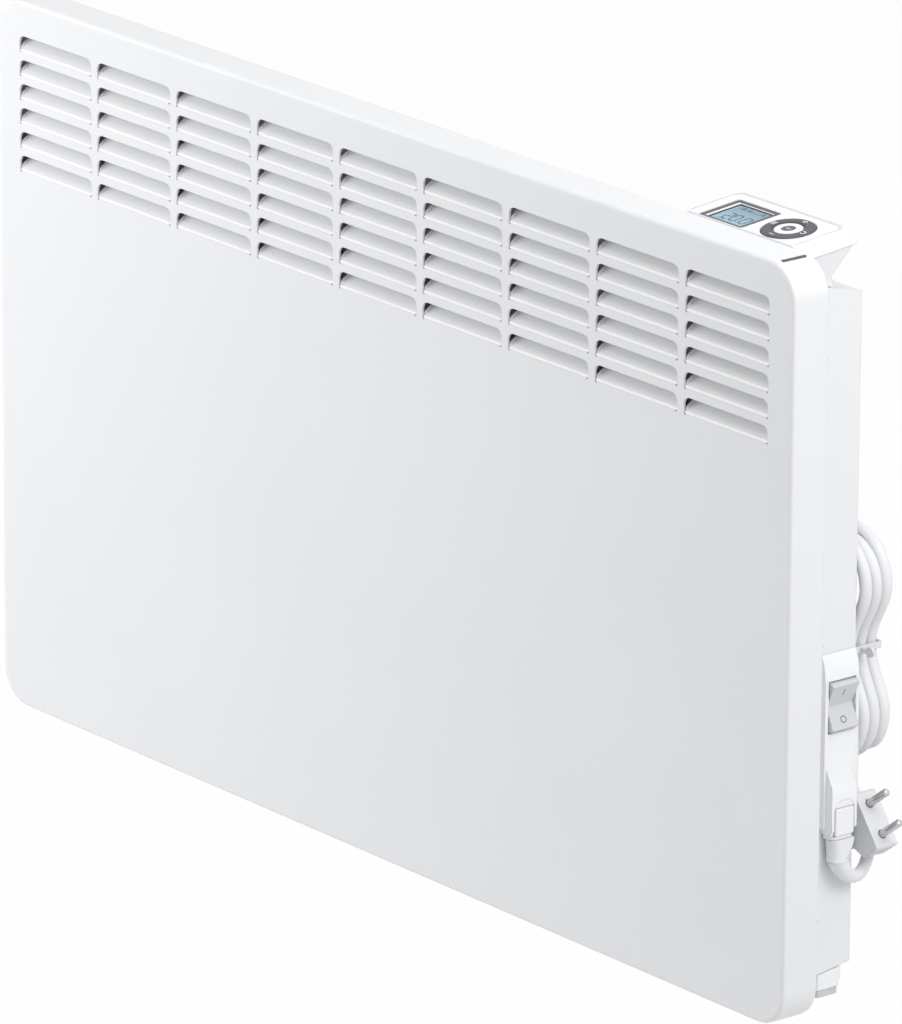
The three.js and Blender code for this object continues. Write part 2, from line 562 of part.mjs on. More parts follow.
function ringKey() {
  const body = stack([
    { outline: circle(0, 0, RING.outer, 48), at: -RING.under },
    { outline: circle(0, 0, RING.outer, 48), at: RING.proud - 0.7 },
    { outline: circle(0, 0, RING.outer - 0.7, 48), at: RING.proud },
  ]);
  const dish = ringDisc(RING.inner + 1.1, RING.proud - 0.35, RING.proud + 1);
  return cut(body, dish, ringDisc(RING.inner, -4, 2));
}

function okKey() {
  const radius = RING.inner - KEY_GAP;
  const cap = stack([
    { outline: circle(0, 0, radius, 36), at: -OK_KEY.under },
    { outline: circle(0, 0, radius, 36), at: OK_KEY.proud - 0.4 },
    { outline: circle(0, 0, radius - 0.5, 36), at: OK_KEY.proud },
  ]);
  return cut(join(cap, ringDisc(OK_KEY.stem, -OK_KEY.stemEnd, -OK_KEY.under + 0.2, 16)),
    ringDisc(OK_KEY.lens + SEAT, OK_KEY.proud - 0.9, 2, 24));
}

const okLens = () => ringDisc(OK_KEY.lens, OK_KEY.proud - 0.6, OK_KEY.proud - 0.1, 24);

function ringGimbal() {
  const bump = (x, v, low, high) => block(x - GIMBAL.bumpSize, x + GIMBAL.bumpSize, v - GIMBAL.bumpSize / 2,
    v + GIMBAL.bumpSize / 2, low, high);
  return join(
    cut(ringDisc(GIMBAL.outer, -GIMBAL.under, -GIMBAL.top, 32), ringDisc(GIMBAL.inner, -6, 0, 20)),
    ...[-1, 1].flatMap((s) => [
      bump(0, s * GIMBAL.bumpAt, -GIMBAL.top - 0.2, -GIMBAL.top + GIMBAL.bump),
      bump(s * (GIMBAL.bumpAt - 0.6), 0, -GIMBAL.under - GIMBAL.bump, -GIMBAL.under + 0.2),
    ]),
  );
}

// ---------------------------------------------------------------- side fitting, rocker and cord inlet

const sideFace = casingHalf + SEAT;
const sideOut = sideFace + SIDE.thick;
const hoodOut = casingHalf + HOOD.out;

function sideFitting() {
  const plate = plateXZ(points([sideFace, SIDE.low], [sideOut, SIDE.low], [sideOut, SIDE.high - 16.5],
    [sideOut - 1.2, SIDE.high - 6.5], [sideFace + 0.5, SIDE.high], [sideFace, SIDE.high]), SIDE.front, SIDE.rear);
  const hood = plateXZ(points([sideFace, SIDE.low], [hoodOut, SIDE.low], [hoodOut, HOOD.crease],
    [sideFace, HOOD.top]), HOOD.front, HOOD.rear);
  const cheek = plateXZ(points([sideFace, SIDE.low - 3], [hoodOut - 1, SIDE.low - 3], [hoodOut, SIDE.low + 1],
    [sideFace, SIDE.low + 1]), HOOD.front, HOOD.front + HOOD.wall);
  const room = plateXZ(points([casingHalf - 1, SIDE.low - 4], [hoodOut - HOOD.wall, SIDE.low - 4],
    [hoodOut - HOOD.wall, HOOD.crease - 0.9], [casingHalf - 1, HOOD.top - 4.2]),
    HOOD.front + HOOD.wall, HOOD.rear - HOOD.wall);
  const window = barYZ(rounded(HOOD.front + HOOD.wall + 0.4, HOOD.rear - HOOD.wall - 0.1, SIDE.low - 5, HOOD.window,
    [0.1, 0.1, 6, 6], 5), hoodOut - 4, hoodOut + 1);
  const opening = block(sideFace - 1, sideOut + 1, ROCKER.front - ROCKER_GAP, ROCKER.rear + ROCKER_GAP,
    ROCKER.low - ROCKER_GAP, ROCKER.high + ROCKER_GAP);
  return cut(join(plate, hood, cheek), room, window, opening,
    ...SIDE_SCREWS.map((z) => sideScrew(z, SCREW.shank + SEAT, 12, 8)));
}

// the rocker is laid out round its pivot: two faces leaning outwards from the middle
const rockerZ = (ROCKER.low + ROCKER.high) / 2;
const rockerX = casingHalf + ROCKER.pivot;
function rocker() {
  const half = (ROCKER.high - ROCKER.low) / 2;
  const end = ROCKER.proud - ROCKER.pivot;
  const outline = points([-2.8, -half + 1.4], [3.5, -half], [7.7, -half + 0.4], [end - 0.8, -half + 0.9],
    [end, -half + 2], [ROCKER.middle - ROCKER.pivot, -0.8], [ROCKER.middle - ROCKER.pivot, 0.8],
    [end, half - 2], [end - 0.8, half - 0.9], [7.7, half - 0.4], [3.5, half], [-2.8, half - 1.4]);
  return plateXZ(outline, ROCKER.front, ROCKER.rear);
}

function switchBody() {
  const out = casingHalf - CASING_SHEET - SEAT;
  const rim = 2;
  const box = block(out - 19, out, ROCKER.front - 0.6 - rim, ROCKER.rear + 0.6 + rim, ROCKER.low - 1 - rim,
    ROCKER.high + 1 + rim);
  const room = block(out - 8.6, out + 1, ROCKER.front - 0.6, ROCKER.rear + 0.6, ROCKER.low - 1, ROCKER.high + 1);
  const blades = [-9, 0, 9].map((z) => block(out - 27, out - 18, ROCKER.front + 6, ROCKER.front + 12,
    rockerZ + z - 0.4, rockerZ + z + 0.4));
  return cut(join(box, ...blades), room);
}

function cordConnector() {
  const out = casingHalf + CONNECTOR.out;
  return join(
    prism(rounded(sideFace + SEAT, out, CONNECTOR.front, CONNECTOR.rear, [0.5, 3, 3, 0.5]), CONNECTOR.low,
      CONNECTOR.high),
    prism(rounded(sideFace + SEAT, out + 1.2, CONNECTOR.front - 1.2, CONNECTOR.rear + 1, [0.8, 4, 4, 0.8]),
      CONNECTOR.low, CONNECTOR.low + 2.4),
  );
}

// boot: oblong under the connector, round where the lead leaves it
function strainRelief() {
  const round = (grow) => ({ left: BOOT.x - BOOT.tip - grow, right: BOOT.x + BOOT.tip + grow,
    front: BOOT.y - BOOT.tip - grow, rear: BOOT.y + BOOT.tip + grow, corner: BOOT.tip + grow - 0.01 });
  const top = { left: sideFace + SEAT, right: BOOT.x + 5.2, front: CONNECTOR.front - 1, rear: CONNECTOR.rear + 1, corner: 4.4 };
  const mix = (a, b, t) => Object.fromEntries(Object.keys(a).map((k) => [k, a[k] + (b[k] - a[k]) * t]));
  const outline = ({ left, right, front, rear, corner }) =>
    rounded(Math.max(left, sideFace + SEAT), right, front, rear, corner, 5);
  const height = CONNECTOR.low - SEAT - BOOT.end;
  const levels = [
    { outline: outline(round(0.25)), at: BOOT.end },
    { outline: outline(round(0.25)), at: BOOT.end + 1.3 },
    { outline: outline(round(-0.1)), at: BOOT.end + 1.7 },
    ...[0.35, 0.6, 0.82, 1].map((t) => ({
      outline: outline(mix(round(-0.1), top, Math.sin((t * Math.PI) / 2) ** 1.6)), at: BOOT.end + height * t,
    })),
  ];
  return cut(stack(levels), prism(circle(BOOT.x, BOOT.y, BOOT.socket, 20), BOOT.end - 1, BOOT.end + BOOT.socketDepth));
}

// ---------------------------------------------------------------- supports under the ends

function supportShoe(side) {
  const low = SHOE.padTop + SEAT;
  const outline = points([SHOE.front, low], [SHOE.step, low], [SHOE.step, SHOE.stepHeight],
    [SHOE.rear, SHOE.stepHeight], [SHOE.rear, casingBottomAt(SHOE.rear) - SEAT],
    [SHOE.front, casingBottomAt(SHOE.front) - SEAT]);
  const outer = side * casingHalf;
  return barYZ(outline, outer, outer - side * SHOE.width);
}

function shoePad(side) {
  const outer = side * (casingHalf - 0.4);
  const inner = side * (casingHalf - SHOE.width + 0.4);
  return prism(rounded(Math.min(outer, inner), Math.max(outer, inner), SHOE.front + 0.4, SHOE.step - 0.4, 1.5, 3),
    SHOE.floor, SHOE.padTop);
}

// ---------------------------------------------------------------- inside the casing

function heatingElement() {
  const outline = [];
  for (let k = 0; k < ELEMENT.fins; k += 1) {
    const angle = (2 * Math.PI * k) / ELEMENT.fins;
    const along = new THREE.Vector2(Math.cos(angle), Math.sin(angle));
    const across = new THREE.Vector2(-along.y, along.x).multiplyScalar(ELEMENT.finThick / 2);
    for (const [r, s] of [[ELEMENT.core, -1], [ELEMENT.fin, -1], [ELEMENT.fin, 1], [ELEMENT.core, 1]]) {
      outline.push(along.clone().multiplyScalar(r).addScaledVector(across, s)
        .add(new THREE.Vector2(ELEMENT.y, ELEMENT.z)));
    }
  }
  const half = ELEMENT.length / 2;
  const pins = barYZ(circle(ELEMENT.y, ELEMENT.z, ELEMENT.pin, 12), -half - 8, half + 8);
  return join(barYZ(outline, -half, half), pins);
}

function elementPlate(side) {
  const near = side * (ELEMENT.length / 2 + SEAT);
  const far = near + side * ELEMENT_PLATE.thick;
  const rear = CASING_REAR - CASING_SHEET - SEAT;
  const low = ELEMENT.z - ELEMENT_PLATE.height / 2;
  const high = ELEMENT.z + ELEMENT_PLATE.height / 2;
  const plate = barYZ(rounded(rear - ELEMENT_PLATE.depth, rear, low, high, [4, 0.1, 0.1, 4], 3),
    near, far);
  const foot = block(near, near + side * 11, rear - ELEMENT_PLATE.thick, rear, low, high);
  return cut(join(plate, foot),
    barYZ(circle(ELEMENT.y, ELEMENT.z, ELEMENT.pin + SEAT, 12), near - side * 2, far + side * 2));
}

const shieldRear = CASING_REAR - CASING_SHEET - SEAT;
const shieldFace = shieldRear - SHIELD.stand;
function heatShield() {
  const line = points([-SHIELD.half, shieldRear], [-SHIELD.half + SHIELD.lip, shieldRear],
    [-SHIELD.half + SHIELD.lip, shieldFace], [SHIELD.half - SHIELD.lip, shieldFace],
    [SHIELD.half - SHIELD.lip, shieldRear], [SHIELD.half, shieldRear]);
  return prism(strip(line, -SHIELD.sheet), SHIELD.low, SHIELD.high);
}

function thermalCutout() {
  const rear = shieldFace - SHIELD.sheet - SEAT;
  const z = (SHIELD.low + SHIELD.high) / 2;
  const cap = turned([[0, 0], [8, 0], [8, 5.5], [7, 6.5], [0, 6.5]], 20).rotateX(Math.PI / 2).translate(0, rear - 1, z);
  const tabs = [-1, 1].map((s) => block(s * 12 - 3.1, s * 12 + 3.1, rear - 4.6, rear - 3.8, z + 4, z + 12));
  const posts = [-1, 1].map((s) => block(s * 10 - 3, s * 10 + 3, rear - 4.6, rear - 0.6, z - 3, z + 6));
  return join(plateXZ(rounded(-17, 17, z - 7, z + 7, 3, 3), rear - 1.2, rear), cap, ...tabs, ...posts);
}

function roomSensor() {
  const seat = (y) => casingBottomAt(y) + CASING_SHEET + SEAT + 0.1;
  const { left, right, front, rear, high } = SENSOR;
  const body = barYZ(points([front, seat(front)], [rear, seat(rear)], [rear, high], [front, high]), left, right);
  const slits = [3, 7, 11, 15].map((x) =>
    block(left + x - 0.8, left + x + 0.8, front - 1, front + 3, high - 10, high - 3));
  return cut(body, ...slits);
}

function terminalBlock() {
  const rear = CASING_REAR - CASING_SHEET - SEAT;
  const { left, right, low, high, depth, slot } = TERMINAL;
  const pitch = (high - low) / 3;
  const body = block(left, right, rear - depth, rear, low, high);
  const grooves = [1, 2].map((k) =>
    block(left - 1, right + 1, rear - depth - 1, rear - depth + 6, low + k * pitch - slot, low + k * pitch + slot));
  const screws = [0.5, 1.5, 2.5].flatMap((k) => [left + 6, right - 6].map((x) =>
    plateXZ(circle(x, low + k * pitch, 2, 10), rear - depth - 1, rear - depth + 5)));
  return cut(body, ...grooves, ...screws);
}

// ---------------------------------------------------------------- lead, hank, tie and plug

// X is measured here from the casing's right side
const CORD = 7.4;                 // outer diameter of the lead
const CORD_ROUTE = [[7.2, 58.0, 86.0], [7.2, 62.6, 77.8], [6.3, 69.6, 72.2], [4.1, 76.9, 70.3], [0.8, 84.1, 71.8],
  [-3.5, 91.2, 77.2], [-8.1, 96.2, 85.6], [-14.0, 98.6, 94.6], [-21.0, 99.0, 102.9], [-28.0, 99.0, 110.4],
  [-34.0, 98.8, 118.0], [-38.4, 98.7, 127.0]];
const TAIL_ROUTE = [[-34.2, 84.0, 126.3], [-45.2, 84.1, 119.2], [-53.2, 84.2, 109.6], [-56.6, 84.2, 98.2],
  [-54.2, 84.2, 87.0], [-46.4, 84.2, 79.2], [-35.4, 84.2, 76.2], [-22.4, 84.2, 80.6]];
const HANK = { x: -29, half: 32, waist: 13, low: 162, high: 238, front: 79.7, rear: 102.3 };
const TIE = { z: 200, wide: 4, thick: 0.9 };
const PLUG = { face: [8.1, 103.3], front: 79, rear: 94.4, neckRear: 89.4, half: 17.5, neck: 6, long: 36, shoulder: 14 };
const PIN = { radius: 2.4, long: 19, apart: 19 };

function leadTube(route, steps) {
  const path = new THREE.CatmullRomCurve3(route.map((p) => new THREE.Vector3(...p)), false, 'centripetal');
  const section = new THREE.Shape(circle(0, 0, CORD / 2, 10));
  return new THREE.ExtrudeGeometry(section, { steps, extrudePath: path, bevelEnabled: false });
}

function hankHalf(z) {
  if (z <= HANK.low) return Math.sqrt(Math.max(HANK.half ** 2 - (z - HANK.low) ** 2, 0));
  if (z >= HANK.high) return Math.sqrt(Math.max(HANK.half ** 2 - (z - HANK.high) ** 2, 0));
  return HANK.half - HANK.waist * Math.sin((Math.PI * (z - HANK.low)) / (HANK.high - HANK.low)) ** 2;
}

function cordHank() {
  const right = [];
  for (let k = -9; k <= 0; k += 1) right.push(HANK.low + HANK.half * Math.sin(radians(k * 10)));
  for (let k = 1; k <= 9; k += 1) right.push(HANK.low + ((HANK.high - HANK.low) * k) / 10);
  for (let k = 0; k <= 9; k += 1) right.push(HANK.high + HANK.half * Math.sin(radians(k * 10)));
  const side = (sign) => right.slice(1, -1).map((z) => new THREE.Vector2(HANK.x + sign * hankHalf(z), z));
  const ends = [right[0], right.at(-1)].map((z) => new THREE.Vector2(HANK.x, z));
  return plateXZ([ends[0], ...side(1), ends[1], ...side(-1).reverse()], HANK.front, HANK.rear);
}

function hankTie() {
  const inner = hankHalf(TIE.z - TIE.wide) + SEAT;
  const band = (grow, low, high) => prism(rounded(HANK.x - inner - grow, HANK.x + inner + grow,
    HANK.front - SEAT - grow, HANK.rear + SEAT + grow, 0.1 + grow, 3), low, high);
  const low = TIE.z - TIE.wide / 2;
  const edge = HANK.x + inner;
  const twist = prism(rounded(edge, edge + 9, 87, 90, 0.8, 2), low + 0.8, low + TIE.wide - 0.8);
  const loop = plateXZ(circle(edge + 8, TIE.z, 3, 12), 87.6, 89.4);
  return join(cut(band(TIE.thick, low, low + TIE.wide), band(0, low - 1, low + TIE.wide + 1)), twist, loop);
}

// the plug lies parallel to the wall; its axis rises to the right
const plugLean = Math.atan2(0.6, 0.8);
const toPlug = (geometry) => geometry.rotateY(-plugLean).translate(PLUG.face[0], 0, PLUG.face[1]);

function plugBody() {
  const middle = (PLUG.front + PLUG.rear) / 2;
  const rib = PLUG.half - 2.4;
  const outline = points([0, -PLUG.half + 1], [0, PLUG.half - 1], [-1, PLUG.half], [-PLUG.shoulder, PLUG.half],
    [-PLUG.shoulder - 5, 9.6], [-PLUG.long, PLUG.neck], [-PLUG.long, -PLUG.neck], [-PLUG.shoulder - 5, -9.6],
    [-PLUG.shoulder, -PLUG.half], [-1, -PLUG.half]);
  const body = plateXZ(outline, PLUG.front, PLUG.rear);
  const thinner = block(-PLUG.long - 1, -PLUG.shoulder - 5, PLUG.neckRear, PLUG.rear + 1, -PLUG.half, PLUG.half);
  const grips = [-1, 1].flatMap((s) => [-5, -8.5, -12].map((x) =>
    block(x - 0.6, x + 0.6, PLUG.front - 1, PLUG.rear + 1, s > 0 ? rib + 1.6 : -PLUG.half - 1,
      s > 0 ? PLUG.half + 1 : -rib - 1.6)));
  const sockets = [-1, 1].map((s) => barYZ(circle(middle, (s * PIN.apart) / 2, PIN.radius + SEAT, 12), -6, 1));
  return toPlug(cut(body, thinner, ...grips, ...sockets));
}

function plugPin(side) {
  const middle = (PLUG.front + PLUG.rear) / 2;
  const shank = turned([[0, -5.5], [PIN.radius, -5.5], [PIN.radius, PIN.long - 1.6], [PIN.radius - 1, PIN.long - 0.3],
    [0, PIN.long]], 16).rotateY(Math.PI / 2);
  return toPlug(shank.translate(0, middle, (side * PIN.apart) / 2));
}

// ---------------------------------------------------------------- assemble

const heater = new THREE.Group();
heater.name = 'heater';
heater.position.set(0, -WALL, -CROSSBAR_UPPER);
const add = (name, geometry, material, to = heater) => to.add(part(name, geometry, material));

const screwHoles = FLANGE_SCREWS.map(([side, z]) => flangeScrewHole(side, z));
add('front_panel', cut(frontPanel(), ...screwHoles), whiteCoat);
add('rear_casing', rearCasing(), whiteCoat);

const pod = new THREE.Group();
pod.position.copy(podHome);
pod.rotation.x = radians(POD_SLOPE);
heater.add(pod);
add('control_cover', controlCover(), whitePlastic, pod);
add('control_base', controlBase(), whitePlastic, pod);
add('display_frame', displayFrame(), darkFrame, pod);
add('display_glass', displayGlass(), glassBlue, pod);
add('display_module', displayModule(), warmPlastic, pod);
add('circuit_board', circuitBoard(), boardGreen, pod);
add('key_mat', keyMat(), rubberGrey, pod);
const keys = new THREE.Group();
keys.position.set(RING.x, RING.v, 0);
pod.add(keys);
add('ring_gimbal', ringGimbal(), warmPlastic, keys);
add('ring_key', ringKey(), greyKey, keys);
add('ok_key', okKey(), whitePlastic, keys);
add('ok_lens', okLens(), rubberGrey, keys);

add('side_fitting', sideFitting(), warmPlastic);
const rockerMesh = part('rocker', rocker(), warmPlastic);
rockerMesh.position.set(rockerX, 0, rockerZ);
heater.add(rockerMesh);
add('switch_body', switchBody(), rubberGrey);
add('cord_connector', cordConnector(), warmPlastic);
add('strain_relief', strainRelief(), cordWhite);

for (const [side, word] of [[-1, 'left'], [1, 'right']]) {
  add(`support_shoe_${word}`, supportShoe(side), warmPlastic);
  add(`shoe_pad_${word}`, shoePad(side), rubberGrey);
  add(`element_plate_${word}`, elementPlate(side), zincSteel);
  add(`upright_${word}`, upright(side), zincSteel);
  add(`top_latch_${word}`, topLatch(side), warmPlastic);
}
add('heating_element', heatingElement(), aluminium);
add('heat_shield', heatShield(), zincSteel);
add('thermal_cutout', thermalCutout(), mica);
add('room_sensor', roomSensor(), warmPlastic);
add('terminal_block', terminalBlock(), warmPlastic);
add('crossbar_upper', crossbar(CROSSBAR_UPPER), zincSteel);
add('crossbar_lower', crossbar(CROSSBAR_LOWER), zincSteel);

FLANGE_SCREWS.forEach((at, k) => add(`flange_screw_${k + 1}`, flangeScrew(at), zincSteel));
POD_SCREWS.forEach((x, k) => add(`pod_screw_${k + 1}`,
  onCasingTop(screw(4.6).translate(0, 0, -CASING_SHEET - SEAT), x), zincSteel));
SIDE_SCREWS.forEach((z, k) => add(`side_screw_${k + 1}`,
  screw(4.2).rotateY(Math.PI / 2).translate(casingHalf - CASING_SHEET - SEAT, sideScrewY, z), zincSteel));

const lead = new THREE.Group();
lead.position.x = casingHalf;
heater.add(lead);
add('supply_cord', leadTube(CORD_ROUTE, 26), cordWhite, lead);
add('cord_hank', cordHank(), cordWhite, lead);
add('hank_tie', hankTie(), warmPlastic, lead);
add('cord_tail', leadTube(TAIL_ROUTE, 22), cordWhite, lead);
add('plug_body', plugBody(), warmPlastic, lead);
add('plug_pin_left', plugPin(1), chromePin, lead);
add('plug_pin_right', plugPin(-1), chromePin, lead);

const model = new THREE.Group();
model.add(heater);
export default model;
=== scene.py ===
"""Studio dressing of a wall panel convector heater.

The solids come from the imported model. This script adds their finishes, the power lead with its hank,
the display's screen and digits, the key and rocker markings, the stage, the lamps and the camera.
Lengths named in millimetres are measured as on a drawing of the heater: X from the middle, Y back
from the panel's face, Z up from the panel's lower edge.
"""

import math

import bmesh
import bpy
from mathutils import Matrix, Vector


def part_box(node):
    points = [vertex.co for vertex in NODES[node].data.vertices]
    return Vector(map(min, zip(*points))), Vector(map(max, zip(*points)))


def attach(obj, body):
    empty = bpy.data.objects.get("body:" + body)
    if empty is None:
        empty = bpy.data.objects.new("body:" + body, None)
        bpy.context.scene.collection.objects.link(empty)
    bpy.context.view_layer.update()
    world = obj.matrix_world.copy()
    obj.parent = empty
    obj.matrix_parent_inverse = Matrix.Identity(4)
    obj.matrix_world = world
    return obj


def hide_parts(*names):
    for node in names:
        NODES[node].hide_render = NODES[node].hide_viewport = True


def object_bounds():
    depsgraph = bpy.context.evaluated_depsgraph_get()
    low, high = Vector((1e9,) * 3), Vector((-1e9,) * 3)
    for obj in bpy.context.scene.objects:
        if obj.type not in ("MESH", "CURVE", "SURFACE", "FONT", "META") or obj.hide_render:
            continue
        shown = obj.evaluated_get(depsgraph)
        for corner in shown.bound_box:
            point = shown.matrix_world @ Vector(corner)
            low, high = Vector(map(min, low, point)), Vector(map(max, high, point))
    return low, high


bl_info = {
    "name": "Wall Panel Convector Heater",
    "version": (1, 0, 0),
    "blender": (4, 5, 0),
    "location": "3D View > Sidebar > Heater",
    "description": "Finishes, power lead, display and markings of a wall panel heater",
    "category": "Object",
}

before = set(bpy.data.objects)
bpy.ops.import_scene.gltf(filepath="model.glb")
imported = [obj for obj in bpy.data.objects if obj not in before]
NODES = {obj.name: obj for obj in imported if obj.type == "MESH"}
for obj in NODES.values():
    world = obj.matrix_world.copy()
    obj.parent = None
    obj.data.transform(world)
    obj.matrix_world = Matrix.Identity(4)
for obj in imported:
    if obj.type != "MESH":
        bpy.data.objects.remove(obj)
CAD_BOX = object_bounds()

WALL_DEPTH = 104.0        # from the panel's face to the wall
DATUM_HEIGHT = 330.0      # height of the wall datum over the panel's lower edge
CASING_SIDE = 339.0       # X of the rear casing's right wall

# control pod: its top plane slopes up to the rear
POD_ORIGIN = (0.0, 26.0, 450.0)
POD_SLOPE = math.radians(5.5)
COVER = {"left": 245.9, "right": 335.6, "front": 2.5, "rear": 39.8, "corner": 5.0, "step": 1.3, "line": 0.32}
WINDOW = {"left": 260.5, "right": 288.0, "front": 3.3, "rear": 27.2, "top": -1.0}
BEZEL_TOP = -0.34
RING = {"x": 313.0, "v": 17.2, "top": 0.8, "marks": 12.5}
LENS_TOP = 0.4
CLEARANCE = 0.00001       # from a surface to a marking on it, in metres
LEAST_MITRE = 0.35        # limits how far a marking's line is drawn out at a corner

# pressed louvres of the panel, measured from the middle of a blade's fold
LOUVRE = {"columns": 9, "rows": 6, "pitch_x": 78.0, "pitch_z": 15.0, "low": 418.9, "half": 36.0,
          "blade": 34.5, "rise": 10.185, "depth": 6.6, "curve": 1.15}
FOLD_PROFILE = [            # depth and height round the bend at a blade's foot
    (0.5, -0.45), (0.0, -0.32), (-0.2, -0.05), (-0.22, 0.25), (-0.04, 0.6), (0.35, 0.92), (0.85, 1.12),
    (1.4, 1.2), (1.5, 0.0), (1.5, -0.45),
]
FOLD_OVERLAP = 0.5          # of the bend, past the blade's left end
WEB = {"top": 8.2, "straight": 1.6, "steps": 8, "front": 1.0, "overlap": 0.3, "reach": 1.1, "thick": 0.5}

# cord inlet on the right side
TAB = {"sides": (54.6, 68.4, 99.5, 116.0), "inner": 346.8, "outer": 349.3, "corner": 1.3, "bevel": 0.5}
LIP = {"sides": (53.6, 68.7, 116.5, 120.6), "inner": 346.8, "outer": 348.9, "corner": 0.6}

# painted shade: a dark plate in the slit in the panel's top edge, for its shadowed inside: left, right, front,
# rear, low, high
SLIT = (351.8, 353.5, 4.5, 21.5, 449.2, 449.85)

# tapered sleeve over the lead's first bend
SLEEVE = {"length": 21.0, "start": 5.9, "end": 3.95, "sides": 24}

# power lead, X measured from the casing's right wall
LEAD_ROUTE = [
    (7.2, 58.0, 86.0), (7.2, 62.6, 77.8), (6.3, 69.6, 72.2), (4.1, 76.9, 70.3), (0.8, 84.1, 71.8),
    (-3.5, 91.2, 77.2), (-8.1, 96.2, 85.6), (-14.0, 98.6, 94.6), (-21.0, 99.0, 102.9),
    (-28.0, 99.0, 110.4), (-34.0, 98.8, 118.0), (-38.4, 98.7, 127.0),
]
TAIL_ROUTE = [
    (-34.2, 84.0, 126.3), (-45.2, 84.1, 119.2), (-53.2, 84.2, 109.6), (-56.6, 84.2, 98.2),
    (-54.2, 84.2, 87.0), (-46.4, 84.2, 79.2), (-35.4, 84.2, 76.2), (-22.4, 84.2, 80.6),
]
HANK = {"x": -29.0, "half": 32.0, "waist": 13.0, "low": 162.0, "high": 238.0}
HANK_LAYERS = (98.6, 91.1, 83.6)
HANK_INSETS = (3.75, 11.3)

# the photographer's camera, fitted to the panel's corners, in metres
CAMERA_LENS = 350.7
CAMERA_PLACE = (4.340823, -3.559206, 1.682509)
CAMERA_TURN = (
    (0.62740156, -0.24352091, 0.73963833),
    (0.77867399, 0.18907764, -0.5982612),
    (0.00584004, 0.95128713, 0.30825101),
)

# place, point aimed at and size of each lamp, in metres
LAMPS = {
    "key_lamp": ((-1.05, -1.05, 0.3), (-0.25, 0.0, 0.0), 0.9),
    "top_lamp": ((0.3, -0.6, 3.0), (CAD_BOX[0] + CAD_BOX[1]) / 2, 2.8),
    "side_lamp": ((1.6, 0.1, 1.0), (0.35, 0.0, 0.0), 1.0),
}
FLOOR_REACH = 14.0
FLOOR_GLOW = 0.97           # share of the floor's white where the camera sees it


def mm(x, y, z):
    """A point of the drawing, in metres in the model's frame."""
    return Vector((x, y - WALL_DEPTH, z - DATUM_HEIGHT)) / 1000


def linear(level):
    """Linear value of a display level from 0 to 255."""
    c = level / 255
    return c / 12.92 if c <= 0.04045 else ((c + 0.055) / 1.055) ** 2.4


def tone(*levels):
    """A linear colour from display levels."""
    return tuple(linear(level) for level in levels)


def colour_property(name, description, default):
    return bpy.props.FloatVectorProperty(
        name=name, description=description, subtype="COLOR", size=3, min=0.0, max=1.0, default=default
    )


def length_property(name, description, default):
    return bpy.props.FloatProperty(
        name=name, description=description, unit="LENGTH", min=0.0, precision=5, default=default
    )


class HeaterFinishes(bpy.types.PropertyGroup):
    """Colours of the heater's finishes."""

    coat: colour_property("Powder Coat", "Steel panel and casing", tone(232, 233, 235))
    # the fold colour is lighter than the powder coat: a painted highlight along the bend at each louvre's foot
    fold: colour_property("Fold Coat", "Bend at the foot of each louvre", tone(251, 251, 252))
    # the slit colour is a painted shade for the shadowed inside of the panel's slit
    slit: colour_property("Slit Shade", "Bottom of the panel's slit", tone(96, 98, 101))
    cover: colour_property("Pod Plastic", "Moulded control pod", tone(238, 239, 241))
    joint: colour_property("Joint Shade", "Joint lines of the pod's cover", tone(158, 160, 164))
    fitting: colour_property("Fitting Plastic", "Side fitting and connector", tone(240, 241, 243))
    rocker: colour_property("Rocker Plastic", "On and off rocker", tone(207, 209, 212))
    keys: colour_property("Key Grey", "Ring key", tone(80, 82, 86))
    bezel: colour_property("Bezel Grey", "Surround of the display", tone(74, 76, 81))
    module: colour_property("Module Grey", "Display module", tone(60, 62, 66))
    board: colour_property("Board Green", "Circuit board", tone(38, 92, 60))
    lens: colour_property("Mark Grey", "Dot in the centre key and marks of the rocker", tone(70, 72, 76))
    border: colour_property("Display Border", "Margin of the display window", tone(226, 232, 236))
    screen_front: colour_property("Screen Front", "Screen at its front edge", tone(140, 186, 202))
    # the darker rear colour is painted shade of the recess under the bezel
    screen_rear_shade: colour_property("Screen Rear", "Screen at its rear edge", tone(92, 128, 156))
    digits: colour_property("Digits", "Figures on the screen", tone(58, 76, 92))
    lead: colour_property("Lead Sheath", "Power lead and strain relief", tone(232, 233, 235))
    plug: colour_property("Plug Plastic", "Plug and hank tie", tone(222, 223, 226))
    pins: colour_property("Pin Plate", "Pins of the plug", tone(205, 205, 204))
    nylon: colour_property("Inner Nylon", "Terminals, sensor and gimbal", tone(226, 222, 210))
    black: colour_property("Black Nylon", "Switch body and thermal cutout", tone(44, 45, 47))
    pads: colour_property("Pad Rubber", "Pads of the supports", tone(208, 209, 212))
    mat: colour_property("Mat Rubber", "Key mat", tone(150, 152, 155))
    catch: colour_property("Catch Nylon", "Catches of the bracket", tone(206, 208, 210))
    zinc: colour_property("Zinc Plate", "Bracket and screws", tone(190, 194, 198))
    inner: colour_property("Inner Sheet", "Heat shield and element plates", tone(182, 186, 190))
    aluminium: colour_property("Aluminium", "Heating element", tone(200, 202, 204))


class HeaterSizes(bpy.types.PropertyGroup):
    """Sizes of the pieces that this script makes."""

    lead_width: length_property("Lead Diameter", "Outer diameter of the lead", 0.0074)
    lead_step: length_property("Lead Step", "Spacing of the points along the lead", 0.0032)
    ink: length_property("Marking Thickness", "Height of a printed marking", 0.00006)
    digit_height: length_property("Digit Height", "Height of the display's figures", 0.0088)
    symbol: length_property("Key Symbol", "Width of a symbol on the ring key", 0.0043)
    rocker_mark: length_property("Rocker Mark", "Height of the rocker's marks", 0.0046)


